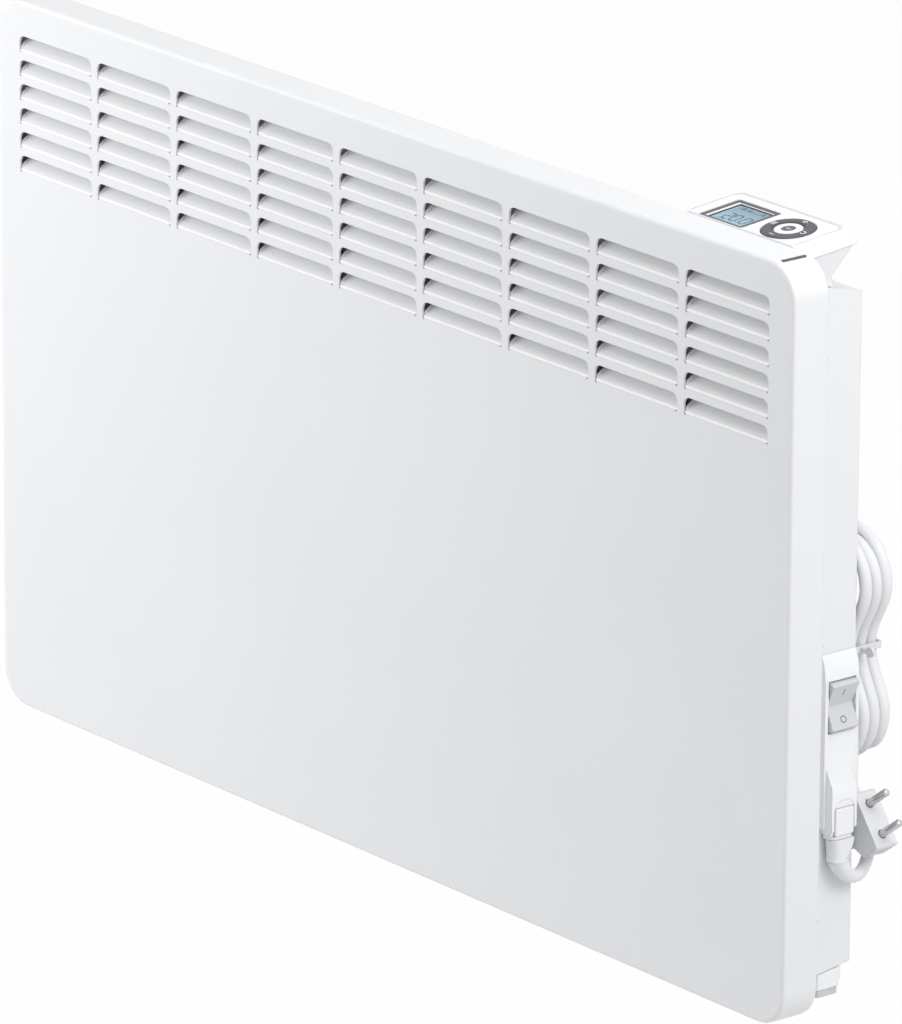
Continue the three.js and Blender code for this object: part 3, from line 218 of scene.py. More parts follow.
class HeaterStage(bpy.types.PropertyGroup):
    """Light and floor of the studio."""

    key_power: bpy.props.FloatProperty(
        name="Key Lamp", description="Large lamp at the front left", unit="POWER", min=0.0, default=10.2
    )
    top_power: bpy.props.FloatProperty(
        name="Top Lamp", description="Large lamp overhead", unit="POWER", min=0.0, default=35.2
    )
    side_power: bpy.props.FloatProperty(
        name="Side Lamp", description="Lamp at the right", unit="POWER", min=0.0, default=17.0
    )
    sky: bpy.props.FloatProperty(
        name="Studio Walls", description="Strength of the light from all round", min=0.0, default=0.48
    )
    floor_height: bpy.props.FloatProperty(
        name="Floor Height", description="Height of the floor", unit="LENGTH", default=-0.75
    )
    floor: colour_property("Floor", "Colour of the floor", tone(238, 238, 239))


# ---------------------------------------------------------------- materials


class Finish:
    """A procedural material, put together step by step."""

    def __init__(self, name, colour, roughness, metallic=0.0, specular=0.5):
        self.material = bpy.data.materials.new(name)
        self.material.use_nodes = True
        self.tree = self.material.node_tree
        self.shader = self.tree.nodes["Principled BSDF"]
        self.colour = tuple(colour)
        self.set(self.shader, {"Base Color": (*self.colour, 1), "Roughness": roughness, "Metallic": metallic,
                               "Specular IOR Level": specular})
        self.roughness = roughness
        self.place = self.tree.nodes.new("ShaderNodeTexCoord").outputs["Object"]
        self.edge = None
        self.colour_output = None

    @staticmethod
    def set(node, values):
        for key, value in values.items():
            node.inputs[key].default_value = value

    def add(self, kind, values=None, **settings):
        node = self.tree.nodes.new(kind)
        for key, value in settings.items():
            setattr(node, key, value)
        self.set(node, values or {})
        return node

    def link(self, source, target):
        self.tree.links.new(source, target)

    def noise(self, size, detail=2.0, stretch=(1, 1, 1)):
        """Noise whose features are about size metres across, drawn out along an axis by stretch."""
        mapping = self.add("ShaderNodeMapping", {"Scale": [1 / s for s in stretch]})
        self.link(self.place, mapping.inputs["Vector"])
        noise = self.add("ShaderNodeTexNoise", {"Scale": 1 / size, "Detail": detail})
        self.link(mapping.outputs["Vector"], noise.inputs["Vector"])
        return noise.outputs[0]

    def spread(self, value, low, high, start=0.3, end=0.7):
        """A value from start to end, spread from low to high."""
        node = self.add("ShaderNodeMapRange", {"From Min": start, "From Max": end, "To Min": low, "To Max": high})
        self.link(value, node.inputs["Value"])
        return node.outputs["Result"]

    def mix(self, factor, first, second):
        """Colour mix; first and second are colours or outputs."""
        node = self.add("ShaderNodeMix", data_type="RGBA")
        self.link(factor, node.inputs[0])
        for slot, value in ((6, first), (7, second)):
            if isinstance(value, bpy.types.NodeSocket):
                self.link(value, node.inputs[slot])
            else:
                node.inputs[slot].default_value = (*value, 1)
        return node.outputs[2]

    def tint(self, factor, colour):
        """Mix a colour over the one so far."""
        self.colour_output = self.mix(factor, self.colour_output or self.colour, colour)

    def shade(self, value):
        """Scale the colour so far by a value."""
        scale = self.add("ShaderNodeVectorMath", operation="SCALE")
        if self.colour_output:
            self.link(self.colour_output, scale.inputs[0])
        else:
            scale.inputs[0].default_value = self.colour
        self.link(value, scale.inputs["Scale"])
        self.colour_output = scale.outputs["Vector"]
        return self

    def mottle(self, size, amount, detail=2.0, stretch=(1, 1, 1)):
        """Slow change of brightness over the surface."""
        return self.shade(self.spread(self.noise(size, detail, stretch), 1.0, 1 - amount))

    def sheen(self, size, amount, stretch=(1, 1, 1)):
        """Change of roughness over the surface."""
        value = self.spread(self.noise(size, 3.0, stretch), self.roughness - amount, self.roughness + amount)
        self.link(value, self.shader.inputs["Roughness"])
        return self

    def round_edges(self, radius, edge_wear_and_shade=0.0, edge_wear_and_shade_colour=None):
        """Rounded look of the edges, and a tint along them: handling wear, and where the tint is strong and dark,
        a painted shade line along the edges.
        """
        bevel = self.add("ShaderNodeBevel", {"Radius": radius}, samples=4)
        self.edge = bevel.outputs["Normal"]
        if edge_wear_and_shade:
            geometry = self.add("ShaderNodeNewGeometry")
            turn = self.add("ShaderNodeVectorMath", operation="DOT_PRODUCT")
            self.link(self.edge, turn.inputs[0])
            self.link(geometry.outputs["Normal"], turn.inputs[1])
            # edge tint: handling wear, and where strong and dark, a painted shade line along the edges
            mask = self.spread(turn.outputs["Value"], edge_wear_and_shade, 0.0, 0.86, 0.995)
            edge_wear_and_shade_mask = self.add("ShaderNodeMath", operation="MULTIPLY")
            self.link(mask, edge_wear_and_shade_mask.inputs[0])
            self.link(self.spread(self.noise(0.006, 3.0), 0.2, 1.0), edge_wear_and_shade_mask.inputs[1])
            self.tint(edge_wear_and_shade_mask.outputs["Value"], edge_wear_and_shade_colour or tuple(c * 0.8 for c in self.colour))
        return self

    def relief(self, size, height, detail=2.0, stretch=(1, 1, 1)):
        """Fine relief of the given height in metres."""
        bump = self.add("ShaderNodeBump", {"Strength": 1.0, "Distance": height})
        self.link(self.noise(size, detail, stretch), bump.inputs["Height"])
        if self.edge:
            self.link(self.edge, bump.inputs["Normal"])
        self.edge = bump.outputs["Normal"]
        return self

    def coat(self, weight, roughness):
        self.set(self.shader, {"Coat Weight": weight, "Coat Roughness": roughness})
        return self

    def done(self):
        if self.colour_output:
            self.link(self.colour_output, self.shader.inputs["Base Color"])
        if self.edge:
            self.link(self.edge, self.shader.inputs["Normal"])
        return self.material


def powder_coat(name, colour, peel=0.000011):
    """Baked powder coat: faint orange peel and a slightly uneven gloss."""
    finish = Finish(name, colour, 0.44, specular=0.45)
    finish.mottle(0.12, 0.018).sheen(0.03, 0.05)
    finish.round_edges(0.0007, 0.35, tuple(c * 0.88 for c in colour))
    return finish.relief(0.0016, peel, 2.0).relief(0.03, 0.00004, 1.0).done()


def moulded(name, colour, roughness=0.46, grain=0.000005, edge=0.0005, line=0.9):
    """Injection-moulded plastic with a fine spark-eroded grain; line is the tone of its edges: near 1 a light
    handling wear, lower a strong painted shade line along the edges.
    """
    finish = Finish(name, colour, roughness, specular=0.45)
    finish.mottle(0.04, 0.022).sheen(0.012, 0.05)
    finish.round_edges(edge, 0.3 if line > 0.85 else 0.9, tuple(c * line for c in colour))
    return finish.relief(0.0007, grain, 3.0).relief(0.02, 0.00002, 1.0).done()


def soft_sheath(name, colour):
    """Matt flexible PVC, with faint drawing lines along it."""
    finish = Finish(name, colour, 0.5, specular=0.4)
    finish.mottle(0.02, 0.03, 3.0).sheen(0.01, 0.07)
    finish.round_edges(0.0006)
    return finish.relief(0.0012, 0.000006, 3.0).relief(0.009, 0.00003, 1.0).done()


def plated(name, colour, grain=(1, 1, 1), roughness=0.36):
    """Zinc-plated or bare sheet with rolling grain."""
    finish = Finish(name, colour, roughness, metallic=1.0)
    finish.mottle(0.012, 0.16, 4.0, grain).sheen(0.004, 0.1, grain)
    finish.round_edges(0.0003, 0.6, tuple(min(1.0, c * 1.25) for c in colour))
    return finish.relief(0.0008, 0.000006, 3.0, grain).done()


def elastomer(name, colour):
    """Dull rubber with a coarse skin."""
    finish = Finish(name, colour, 0.82, specular=0.3)
    finish.mottle(0.008, 0.14, 3.0).sheen(0.006, 0.08)
    finish.round_edges(0.0004, 0.4, tuple(min(1.0, c * 1.3) for c in colour))
    return finish.relief(0.0011, 0.00002, 3.0).done()


def solder_mask(name, colour):
    """Green board with fine tracks under its mask."""
    finish = Finish(name, colour, 0.35)
    brick = finish.add("ShaderNodeTexBrick", {
        "Scale": 260.0, "Mortar Size": 0.05, "Color1": (0, 0, 0, 1), "Color2": (0.25, 0.25, 0.25, 1),
        "Mortar": (1, 1, 1, 1),
    })
    finish.link(finish.place, brick.inputs["Vector"])
    finish.tint(finish.spread(brick.outputs["Color"], 0.0, 0.6, 0.0, 1.0), tuple(c * 1.9 for c in colour))
    return finish.relief(0.0015, 0.00001).done()


def paint(material, *names):
    """Give CAD nodes their finish."""
    for name in names:
        node = NODES[name]
        for slot in node.material_slots:
            slot.material = material
        if not node.material_slots:
            node.data.materials.append(material)


# ---------------------------------------------------------------- geometry


def smooth_curves(node, limit=math.radians(34)):
    """Shade a CAD mesh smoothly across its shallow edges, with the larger faces leading."""
    mesh = node.data
    spots = [tuple(round(c * 1e6) for c in vertex.co) for vertex in mesh.vertices]
    corners = {}
    for polygon in mesh.polygons:
        for index in polygon.vertices:
            corners.setdefault(spots[index], []).append((polygon.normal.copy(), polygon.area))
    least = math.cos(limit)
    normals = []
    for polygon in mesh.polygons:
        own = polygon.normal
        for loop_index in polygon.loop_indices:
            total = Vector((0, 0, 0))
            for normal, area in corners[spots[mesh.loops[loop_index].vertex_index]]:
                if normal.dot(own) > least:
                    total += normal * area
            normals.append(total.normalized() if total.length > 0 else own.copy())
    mesh.shade_smooth()
    mesh.normals_split_custom_set(normals)


def make_mesh(name, build, material, body, soft=0):
    """A mesh piece from a bmesh-filling function; it rides on a body and takes a slot's finish.

    Edges below soft degrees are shaded smoothly.
    """
    mesh = bpy.data.meshes.new(name)
    working = bmesh.new()
    build(working)
    bmesh.ops.recalc_face_normals(working, faces=working.faces)
    working.to_mesh(mesh)
    working.free()
    piece = bpy.data.objects.new(name, mesh)
    bpy.context.scene.collection.objects.link(piece)
    mesh.materials.append(material)
    if soft:
        mesh.shade_smooth()
        mesh.set_sharp_from_angle(angle=math.radians(soft))
    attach(piece, body)
    return piece


class Pen:
    """Draws plates and bands on a plane set by place, from a low to a high distance along its normal."""

    def __init__(self, working, place, low, high):
        self.working, self.place, self.low, self.high = working, place, low, high

    def spot(self, point, height):
        return self.working.verts.new(self.place @ Vector((point[0], point[1], height)))

    def plate(self, outline):
        """A closed plate over a simple outline."""
        floor = [self.spot(point, self.low) for point in outline]
        roof = [self.spot(point, self.high) for point in outline]
        faces = self.working.faces
        faces.new(floor[::-1])
        faces.new(roof)
        for k in range(len(outline)):
            n = (k + 1) % len(outline)
            faces.new((floor[k], floor[n], roof[n], roof[k]))

    def box(self, left, right, front, rear):
        """A closed plate over a rectangle."""
        self.plate([(left, front), (right, front), (right, rear), (left, rear)])

    def band(self, line, width, closed=False):
        """A closed band of even width along a line of points."""
        points = [Vector(point) for point in line]
        count = len(points)
        left, right = [], []
        for k, point in enumerate(points):
            ways = []
            if closed or k:
                ways.append((point - points[k - 1]).normalized())
            if closed or k < count - 1:
                ways.append((points[(k + 1) % count] - point).normalized())
            along = sum(ways, Vector((0, 0))).normalized()
            across = Vector((-along.y, along.x))
            reach = width / 2 / max(LEAST_MITRE, abs(across.dot(Vector((-ways[0].y, ways[0].x)))))
            left.append(point + across * reach)
            right.append(point - across * reach)
        rows = [[self.spot(point, height) for point in side] for side, height in
                ((left, self.high), (right, self.high), (right, self.low), (left, self.low))]
        faces = self.working.faces
        for k in range(count if closed else count - 1):
            n = (k + 1) % count
            for a in range(4):
                b = (a + 1) % 4
                faces.new((rows[a][k], rows[b][k], rows[b][n], rows[a][n]))
        if not closed:
            faces.new([row[0] for row in rows])
            faces.new([row[-1] for row in rows][::-1])


def arc(cx, cy, radius, start, end, steps):
    return [(cx + radius * math.cos(math.radians(start + (end - start) * k / steps)),
             cy + radius * math.sin(math.radians(start + (end - start) * k / steps))) for k in range(steps + 1)]


def circle(cx, cy, radius, steps):
    return arc(cx, cy, radius, 0, 360, steps)[:-1]


def pod_place(u, v):
    """Placement on the pod's top plane: x right, y up the slope, z off the plane, in metres."""
    origin = mm(*POD_ORIGIN)
    right = Vector((1, 0, 0))
    rear = Vector((0, math.cos(POD_SLOPE), math.sin(POD_SLOPE)))
    out = right.cross(rear)
    turn = Matrix((right, rear, out)).transposed().to_4x4()
    return Matrix.Translation(origin + right * (u / 1000) + rear * (v / 1000)) @ turn


def rounded(left, right, low, high, radius, steps=4):
    """Outline of a rectangle with rounded corners."""
    return [
        *arc(right - radius, low + radius, radius, 270, 360, steps),
        *arc(right - radius, high - radius, radius, 0, 90, steps),
        *arc(left + radius, high - radius, radius, 90, 180, steps),
        *arc(left + radius, low + radius, radius, 180, 270, steps),
    ]


def loft(working, rings):
    """A closed solid through rings of points of equal count."""
    rows = [[working.verts.new(point) for point in ring] for ring in rings]
    for first, second in zip(rows, rows[1:]):
        for k in range(len(first)):
            n = (k + 1) % len(first)
            working.faces.new((first[k], first[n], second[n], second[k]))
    working.faces.new(rows[0][::-1])
    working.faces.new(rows[-1])


def smooth_step(value):
    value = min(1.0, max(0.0, value))
    return value * value * (3 - 2 * value)


def blend_between(value, start, end, first, second):
    return first + (second - first) * smooth_step((value - start) / (end - start))


# ---------------------------------------------------------------- power lead


def hank_half(z):
    """Half width of the hank at a height between the centres of its lobes."""
    share = (z - HANK["low"]) / (HANK["high"] - HANK["low"])
    return HANK["half"] - HANK["waist"] * math.sin(math.pi * share) ** 2


def hank_point(phase, inset):
    """A point round the hank, seen from the front and clockwise from the lower left of its lower lobe.

    The phase's four parts are: up the left side, over the top, down the right side, round the bottom.
    """
    low, high, half = HANK["low"], HANK["high"], HANK["half"]
    part, share = int(phase) % 4, phase - int(phase)

    def side(z, sign):
        above, below = min(z + 0.5, high), max(z - 0.5, low)
        slope = (hank_half(above) - hank_half(below)) / (above - below)
        normal = Vector((1.0, -slope)).normalized()
        return Vector((sign * (hank_half(z) - inset * normal.x), z - inset * normal.y))

    def lobe(z, angle):
        return Vector(((half - inset) * math.cos(angle), z + (half - inset) * math.sin(angle)))

    if part == 0:
        turn = math.pi / 4 * half
        travel = share * (turn + high - low)
        if travel < turn:
            return lobe(low, math.pi * 1.25 - travel / half)
        return side(low + travel - turn, -1)
    if part == 1:
        return lobe(high, math.pi * (1 - share))
    if part == 2:
        return side(high - (high - low) * share, 1)
    return lobe(low, math.pi * (2 - 0.75 * share))


def hank_line():
    """The lead's line through the hank: four turns in three layers, each a diameter from the next."""
    outer, inner = HANK_INSETS
    rear, middle, front = HANK_LAYERS
    leave = 15 + 60 / 135          # the phase at which the lead's end leaves the hank
    line, phase = [], 0.0
    while phase < leave:           # each change of inset or layer is spread between two phases
        if phase < 4:
            inset, depth = blend_between(phase, 3.222, 3.815, outer, inner), rear
        elif phase < 8:
            inset, depth = inner, blend_between(phase, 6.0, 7.0, rear, middle)
        elif phase < 12:
            inset, depth = blend_between(phase, 9.0, 10.0, inner, outer), middle
        else:
            inset, depth = outer, blend_between(phase, 12.2, 13.0, middle, front)
        spot = hank_point(phase, inset)
        line.append((HANK["x"] + spot.x, depth, spot.y))
        phase += 0.0625
    spot = hank_point(leave, outer)
    line.append((HANK["x"] + spot.x, front, spot.y))
    return line


def curve_point(p, share):
    """A point between the second and third of four, on a centripetal Catmull-Rom curve."""
    t = [0.0]
    for a, b in zip(p, p[1:]):
        t.append(t[-1] + math.sqrt((b - a).length))
    here = t[1] + (t[2] - t[1]) * share
    a = [p[i].lerp(p[i + 1], (here - t[i]) / (t[i + 1] - t[i])) for i in range(3)]
    b = [a[i].lerp(a[i + 1], (here - t[i]) / (t[i + 2] - t[i])) for i in range(2)]
    return b[0].lerp(b[1], share)


def even_line(points, step):
    """Points a step apart along a smooth curve through the given ones, and the curve's length."""
    spots = [mm(CASING_SIDE + x, y, z) for x, y, z in points]
    spots = [spots[0] * 2 - spots[1], *spots, spots[-1] * 2 - spots[-2]]
    dense = [curve_point(spots[k:k + 4], j / 12) for k in range(len(spots) - 3) for j in range(12)]
    dense.append(spots[-2].copy())
    total = sum((b - a).length for a, b in zip(dense, dense[1:]))
    count = max(2, round(total / step))
    line, travelled = [dense[0]], 0.0
    for a, b in zip(dense, dense[1:]):
        piece = (b - a).length
        while len(line) < count and travelled + piece >= total * len(line) / count:
            line.append(a.lerp(b, (total * len(line) / count - travelled) / piece))
        travelled += piece
    line.append(dense[-1])
    return line, total


# ---------------------------------------------------------------- operators


class HEATER_OT_camera(bpy.types.Operator):
    """Place the camera as in a product photograph, from the front right and a little above."""

    bl_idname = "heater.camera"
    bl_label = "Camera"

    def execute(self, context):
        data = bpy.data.cameras.new("camera")
        data.lens = CAMERA_LENS
        data.clip_end = 60.0
        camera = bpy.data.objects.new("camera", data)
        context.scene.collection.objects.link(camera)
        camera.matrix_world = Matrix.Translation(CAMERA_PLACE) @ Matrix(CAMERA_TURN).to_4x4()
        context.scene.camera = camera
        return {"FINISHED"}


class HEATER_OT_power_lead(bpy.types.Operator):
    """Make the power lead: the loop below its connector, the tied hank and the end at the plug."""

    bl_idname = "heater.power_lead"
    bl_label = "Power Lead"

    def execute(self, context):
        sizes, colours = context.scene.heater_sizes, context.scene.heater_finishes
        sheath = soft_sheath("lead_sheath", colours.lead)
        line, length = even_line([*LEAD_ROUTE, *hank_line(), *TAIL_ROUTE], sizes.lead_step)
        data = bpy.data.curves.new("power_lead", "CURVE")
        data.dimensions = "3D"
        data.bevel_depth = sizes.lead_width / 2
        data.bevel_resolution = 3
        data.use_fill_caps = True
        data.resolution_u = 1
        spline = data.splines.new("POLY")
        spline.points.add(len(line) - 1)
        for point, spot in zip(spline.points, line):
            point.co = (*spot, 1)
        spline.use_smooth = True
        lead = bpy.data.objects.new("power_lead", data)
        context.scene.collection.objects.link(lead)
        data.materials.append(sheath)
        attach(lead, "heater")
        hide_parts("supply_cord", "cord_hank", "cord_tail")
        sleeve = make_mesh("lead_sleeve", lambda b: self.sleeve(b, line, length / (len(line) - 1)), sheath,
                           "heater", 40)
        paint(soft_sheath("strain_relief_rubber", colours.lead), "strain_relief")
        paint(moulded("plug_plastic", colours.plug, 0.5), "plug_body")
        paint(soft_sheath("tie_plastic", colours.plug), "hank_tie")
        paint(plated("pin_plate", colours.pins, roughness=0.22), "plug_pin_left", "plug_pin_right")
        return {"FINISHED"}

    @staticmethod
    def sleeve(working, line, step):
        """Tapered sleeve over the lead's first bend."""
        rings = []
        count = round(SLEEVE["length"] / 1000 / step)
        angles = [2 * math.pi * j / SLEEVE["sides"] for j in range(SLEEVE["sides"])]
        for k in range(count + 1):
            along = (line[k + 1] - line[max(k - 1, 0)]).normalized()
            across = along.cross(Vector((0, 1, 0))).normalized()
            other = along.cross(across)
            radius = blend_between(k / count, 0.0, 1.0, SLEEVE["start"], SLEEVE["end"]) / 1000
            rings.append([line[k] + across * (radius * math.cos(a)) + other * (radius * math.sin(a))
                          for a in angles])
        loft(working, rings)


class HEATER_OT_sheet_metal(bpy.types.Operator):
    """Finish the louvred panel and the rear casing in powder coat."""

    bl_idname = "heater.sheet_metal"
    bl_label = "Panel and Casing"

    def execute(self, context):
        colours = context.scene.heater_finishes
        coat = powder_coat("panel_coat", colours.coat)
        paint(coat, "front_panel")
        paint(powder_coat("casing_coat", colours.coat, 0.000014), "rear_casing")
        # the folds take a lighter coat than the panel: a painted highlight along each bend
        make_mesh("louvre_folds", self.folds, powder_coat("fold_highlight_coat", colours.fold), "heater", 60)
        make_mesh("louvre_ends", self.ends, coat, "heater", 50)
        # a dark plate in the slit: painted shade of its shadowed inside
        shade = moulded("slit_painted_shade", colours.slit, 0.6)
        make_mesh("slit_painted_shade", self.slit, shade, "heater")
        return {"FINISHED"}

    @staticmethod
    def slit(working):
        """Dark plate in the slit in the panel's top edge: painted shade of its shadowed inside."""
        left, right, front, rear, low, high = SLIT
        loft(working, [[mm(x, y, z) for x, y in ((left, front), (right, front), (right, rear), (left, rear))]
                       for z in (low, high)])

    @staticmethod
    def spots():
        """Middle of each louvre's fold."""
        for row in range(LOUVRE["rows"]):
            for column in range(LOUVRE["columns"]):
                yield ((column - (LOUVRE["columns"] - 1) / 2) * LOUVRE["pitch_x"],
                       LOUVRE["low"] - row * LOUVRE["pitch_z"])

    def folds(self, working):
        """Rounded bend along the foot of each blade."""
        for x, z in self.spots():
            loft(working, [[mm(x + end, y, z + up) for y, up in FOLD_PROFILE]
                           for end in (-LOUVRE["blade"] - FOLD_OVERLAP, LOUVRE["half"])])

    def ends(self, working):
        """Curved web at both ends of each blade, low at the sheet and high at the blade."""
        for x, z in self.spots():
            for side in (-1, 1):
                rings = [[mm(x + side * across, depth, z + up) for across, depth in self.web(up)]
                         for up in (WEB["top"] * k / WEB["steps"] for k in range(WEB["steps"] + 1))]
                loft(working, rings)

    @staticmethod
    def web(up):
        """Section through a web at a height over the fold: distance from the blade's middle, and depth."""
        share = 1 - smooth_step((up - WEB["straight"]) / (WEB["top"] - WEB["straight"]))
        bend = math.sin(up / LOUVRE["rise"] * math.pi / 2) ** LOUVRE["curve"]
        deep = LOUVRE["depth"] * bend + 0.2
        near = deep + (min(deep, WEB["front"]) - deep) * share
        out = LOUVRE["blade"] - 0.2 + WEB["reach"] * share
        return ((LOUVRE["blade"] - WEB["overlap"], deep), (out, near), (out + WEB["thick"], near + 0.1),
                (LOUVRE["blade"] + WEB["overlap"], deep + WEB["thick"]))


class HEATER_OT_plastics(bpy.types.Operator):
    """Finish the moulded pod, side fitting, connector, supports and inner plastics."""

    bl_idname = "heater.plastics"
    bl_label = "Moulded Parts"

    def execute(self, context):
        colours = context.scene.heater_finishes
        # the pod and fitting get dark edge tones (0.55, 0.7): painted shade lines along their edges
        paint(moulded("pod_plastic", colours.cover, 0.4, 0.000003, 0.0006, 0.55), "control_cover", "control_base")
        paint(moulded("fitting_plastic", colours.fitting, 0.42, 0.000005, 0.0008, 0.7),
              "side_fitting", "cord_connector")
        paint(moulded("shoe_plastic", colours.fitting, 0.5, 0.00001), "support_shoe_left", "support_shoe_right")
        paint(moulded("inner_nylon", colours.nylon, 0.5), "terminal_block", "room_sensor", "ring_gimbal")
        paint(moulded("black_nylon", colours.black, 0.5), "switch_body", "thermal_cutout")
        paint(elastomer("shoe_rubber", colours.pads), "shoe_pad_left", "shoe_pad_right")
        paint(elastomer("mat_rubber", colours.mat), "key_mat")
        # the tab's dark edge tone (0.7) is a painted shade line along its edges
        fitting = moulded("tab_plastic", colours.fitting, 0.42, 0.000005, 0.0006, 0.7)
        make_mesh("connector_tab", self.tab, fitting, "heater")
        make_mesh("hood_lip", self.lip, fitting, "heater")
        line = moulded("joint_shade", colours.joint, 0.6, 0.000002, 0.00003)
        make_mesh("cover_joint", self.joints, line, "heater")
        return {"FINISHED"}

    @staticmethod
    def tab(working):
        """Release tab of the connector, with its upper edge drawn in."""
        bevel = TAB["bevel"]
        rings = []
        for out, inset in ((TAB["inner"], 0.0), (TAB["outer"] - bevel, 0.0), (TAB["outer"], bevel)):
            front, rear, low, high = TAB["sides"]
            outline = rounded(front + inset, rear - inset, low + inset, high - inset, TAB["corner"])
            rings.append([mm(out, y, z) for y, z in outline])
        loft(working, rings)

    @staticmethod
    def lip(working):
        """Lip of the hood over the tab."""
        outline = rounded(*LIP["sides"], LIP["corner"])
        loft(working, [[mm(out, y, z) for y, z in outline] for out in (LIP["inner"], LIP["outer"])])

    @staticmethod
    def joints(working):
        """Joint lines along the rear and the side edges of the pod's cover."""
        pen = Pen(working, pod_place(0, 0), CLEARANCE, 0.00006)
        for inset in (0.0, COVER["step"]):
            right, rear, corner = COVER["right"] - inset, COVER["rear"] - inset, COVER["corner"] - inset
            left = COVER["left"] + inset
            line = [*arc(left + corner, rear - corner, corner, 180, 90, 6),
                    *arc(right - corner, rear - corner, corner, 90, 0, 6)]
            if not inset:
                line = [(left, COVER["front"]), *line, (right, COVER["front"])]
            pen.band([(x / 1000, y / 1000) for x, y in line], COVER["line"] / 1000)


class HEATER_OT_display(bpy.types.Operator):
    """Finish the display and make its screen, its figures and its small marks."""

    bl_idname = "heater.display"
    bl_label = "Display"

    def execute(self, context):
        sizes, colours = context.scene.heater_sizes, context.scene.heater_finishes
        paint(moulded("bezel_plastic", colours.bezel, 0.38, 0.000004, 0.0003), "display_frame")
        window = Finish("window_border", colours.border, 0.16).mottle(0.02, 0.03).round_edges(0.0002)
        paint(window.relief(0.012, 0.00001).coat(1.0, 0.05).done(), "display_glass")
        paint(moulded("module_plastic", colours.module, 0.5), "display_module")
        paint(solder_mask("board_mask", colours.board), "circuit_board")

        wide = (WINDOW["right"] - WINDOW["left"]) / 1000
        deep = (WINDOW["rear"] - WINDOW["front"]) / 1000
        place = pod_place(WINDOW["left"], WINDOW["front"])
        surface = WINDOW["top"] / 1000 + CLEARANCE
        film = surface + 0.00008
        low = film + CLEARANCE
        high = low + sizes.ink
        margin, rim, gap = 0.0009, 0.0012, 0.0003

        def screen(working):
            Pen(working, place, surface, film).box(margin * 1.6, wide - margin, margin, deep - margin)

        def rim_bands(working):
            pen = Pen(working, place, BEZEL_TOP / 1000, BEZEL_TOP / 1000 + sizes.ink)
            pen.box(-0.0026, -gap, -gap, deep + rim)
            pen.box(-gap, wide + gap, deep + gap, deep + rim)

        def figures(working):
            pen = Pen(working, place, low, high)
            height, foot, point = sizes.digit_height, 0.0037, 0.0007
            pitch = height * 0.68
            left = wide - margin - 3.45 * pitch
            for digit, step in (("2", 0.0), ("0", 1.0), ("0", 2.35)):
                self.seven_segments(pen, digit, left + step * pitch, foot, height)
            dot = left + 2.03 * pitch
            pen.box(dot, dot + point, foot, foot + point)

        def small_marks(working):
            pen = Pen(working, place, low, high)
            bold, fine = 0.00035, 0.00022
            row, sun, clock = deep - 0.0028, 0.0064, wide - 0.0046
            pen.band([(0.0032, deep - 0.0042), (wide - 0.0026, deep - 0.0042)], fine)
            pen.band(circle(sun, row, 0.0009, 14), bold, True)
            for x, y in circle(0, 0, 1, 8):
                pen.band([(sun + x * 0.00135, row + y * 0.00135), (sun + x * 0.0017, row + y * 0.0017)], 0.0002)
            for k in range(4):
                x, foot = 0.0102 + k * 0.0008, deep - 0.0038
                pen.band([(x, foot), (x, foot + 0.0007 + k * 0.0005)], bold)
            pen.band(circle(clock, row, 0.001, 16), 0.00025, True)
            pen.band([(clock, row), (clock, row + 0.0007)], fine)
            pen.band([(clock, row), (clock + 0.0005, row)], fine)
            for k in range(5):
                x, foot = 0.0034 + k * 0.0014, 0.0024
                pen.band([(x, foot), (x + 0.0009, foot)], bold)

        glow = self.screen_material(colours, place, deep)
        make_mesh("display_screen", screen, glow, "heater")
        white = moulded("display_rim", colours.border, 0.35, 0.000003, 0.0002)
        make_mesh("display_rim", rim_bands, white, "heater")
        ink = moulded("display_ink", colours.digits, 0.3, 0.000002, 0.00005)
        make_mesh("display_figures", figures, ink, "heater")
        make_mesh("display_marks", small_marks, ink, "heater")
        return {"FINISHED"}

    @staticmethod
    def screen_material(colours, place, deep):
        """Pale screen, darker to its rear edge as painted shade of the recess under the bezel, under a clear
        cover.
        """
        finish = Finish("screen", colours.screen_front, 0.22)
        split = finish.add("ShaderNodeSeparateXYZ")
        finish.link(finish.place, split.inputs[0])
        start, end = place.translation.y, (place @ Vector((0, deep, 0))).y
        # painted shade: the screen darkens towards its rear edge
        rear_shade_ramp = finish.spread(split.outputs["Y"], 0.0, 1.0, start, end)
        finish.tint(rear_shade_ramp, tuple(colours.screen_rear_shade))
        finish.shade(finish.spread(finish.noise(0.004), 0.95, 1.0))
        return finish.relief(0.006, 0.000006).coat(0.4, 0.06).done()

    @staticmethod
    def seven_segments(pen, digit, x, y, height):
        """One figure made of bars with pointed ends."""
        wide, half, bar = height * 0.5, height / 2, height * 0.1
        lines = {
            "a": ((0, height), (wide, height)), "b": ((wide, half), (wide, height)),
            "c": ((wide, 0), (wide, half)), "d": ((0, 0), (wide, 0)),
            "e": ((0, 0), (0, half)), "f": ((0, half), (0, height)), "g": ((0, half), (wide, half)),
        }
        for name in {"0": "abcdef", "2": "abged"}[digit]:
            start, end = (Vector(point) for point in lines[name])
            along = (end - start).normalized()
            across = Vector((-along.y, along.x)) * bar / 2
            a = Vector((x, y)) + start + along * bar * 0.18
            b = Vector((x, y)) + end - along * bar * 0.18
            tip = along * bar / 2
            pen.plate([a, a + tip - across, b - tip - across, b, b - tip + across, a + tip + across])


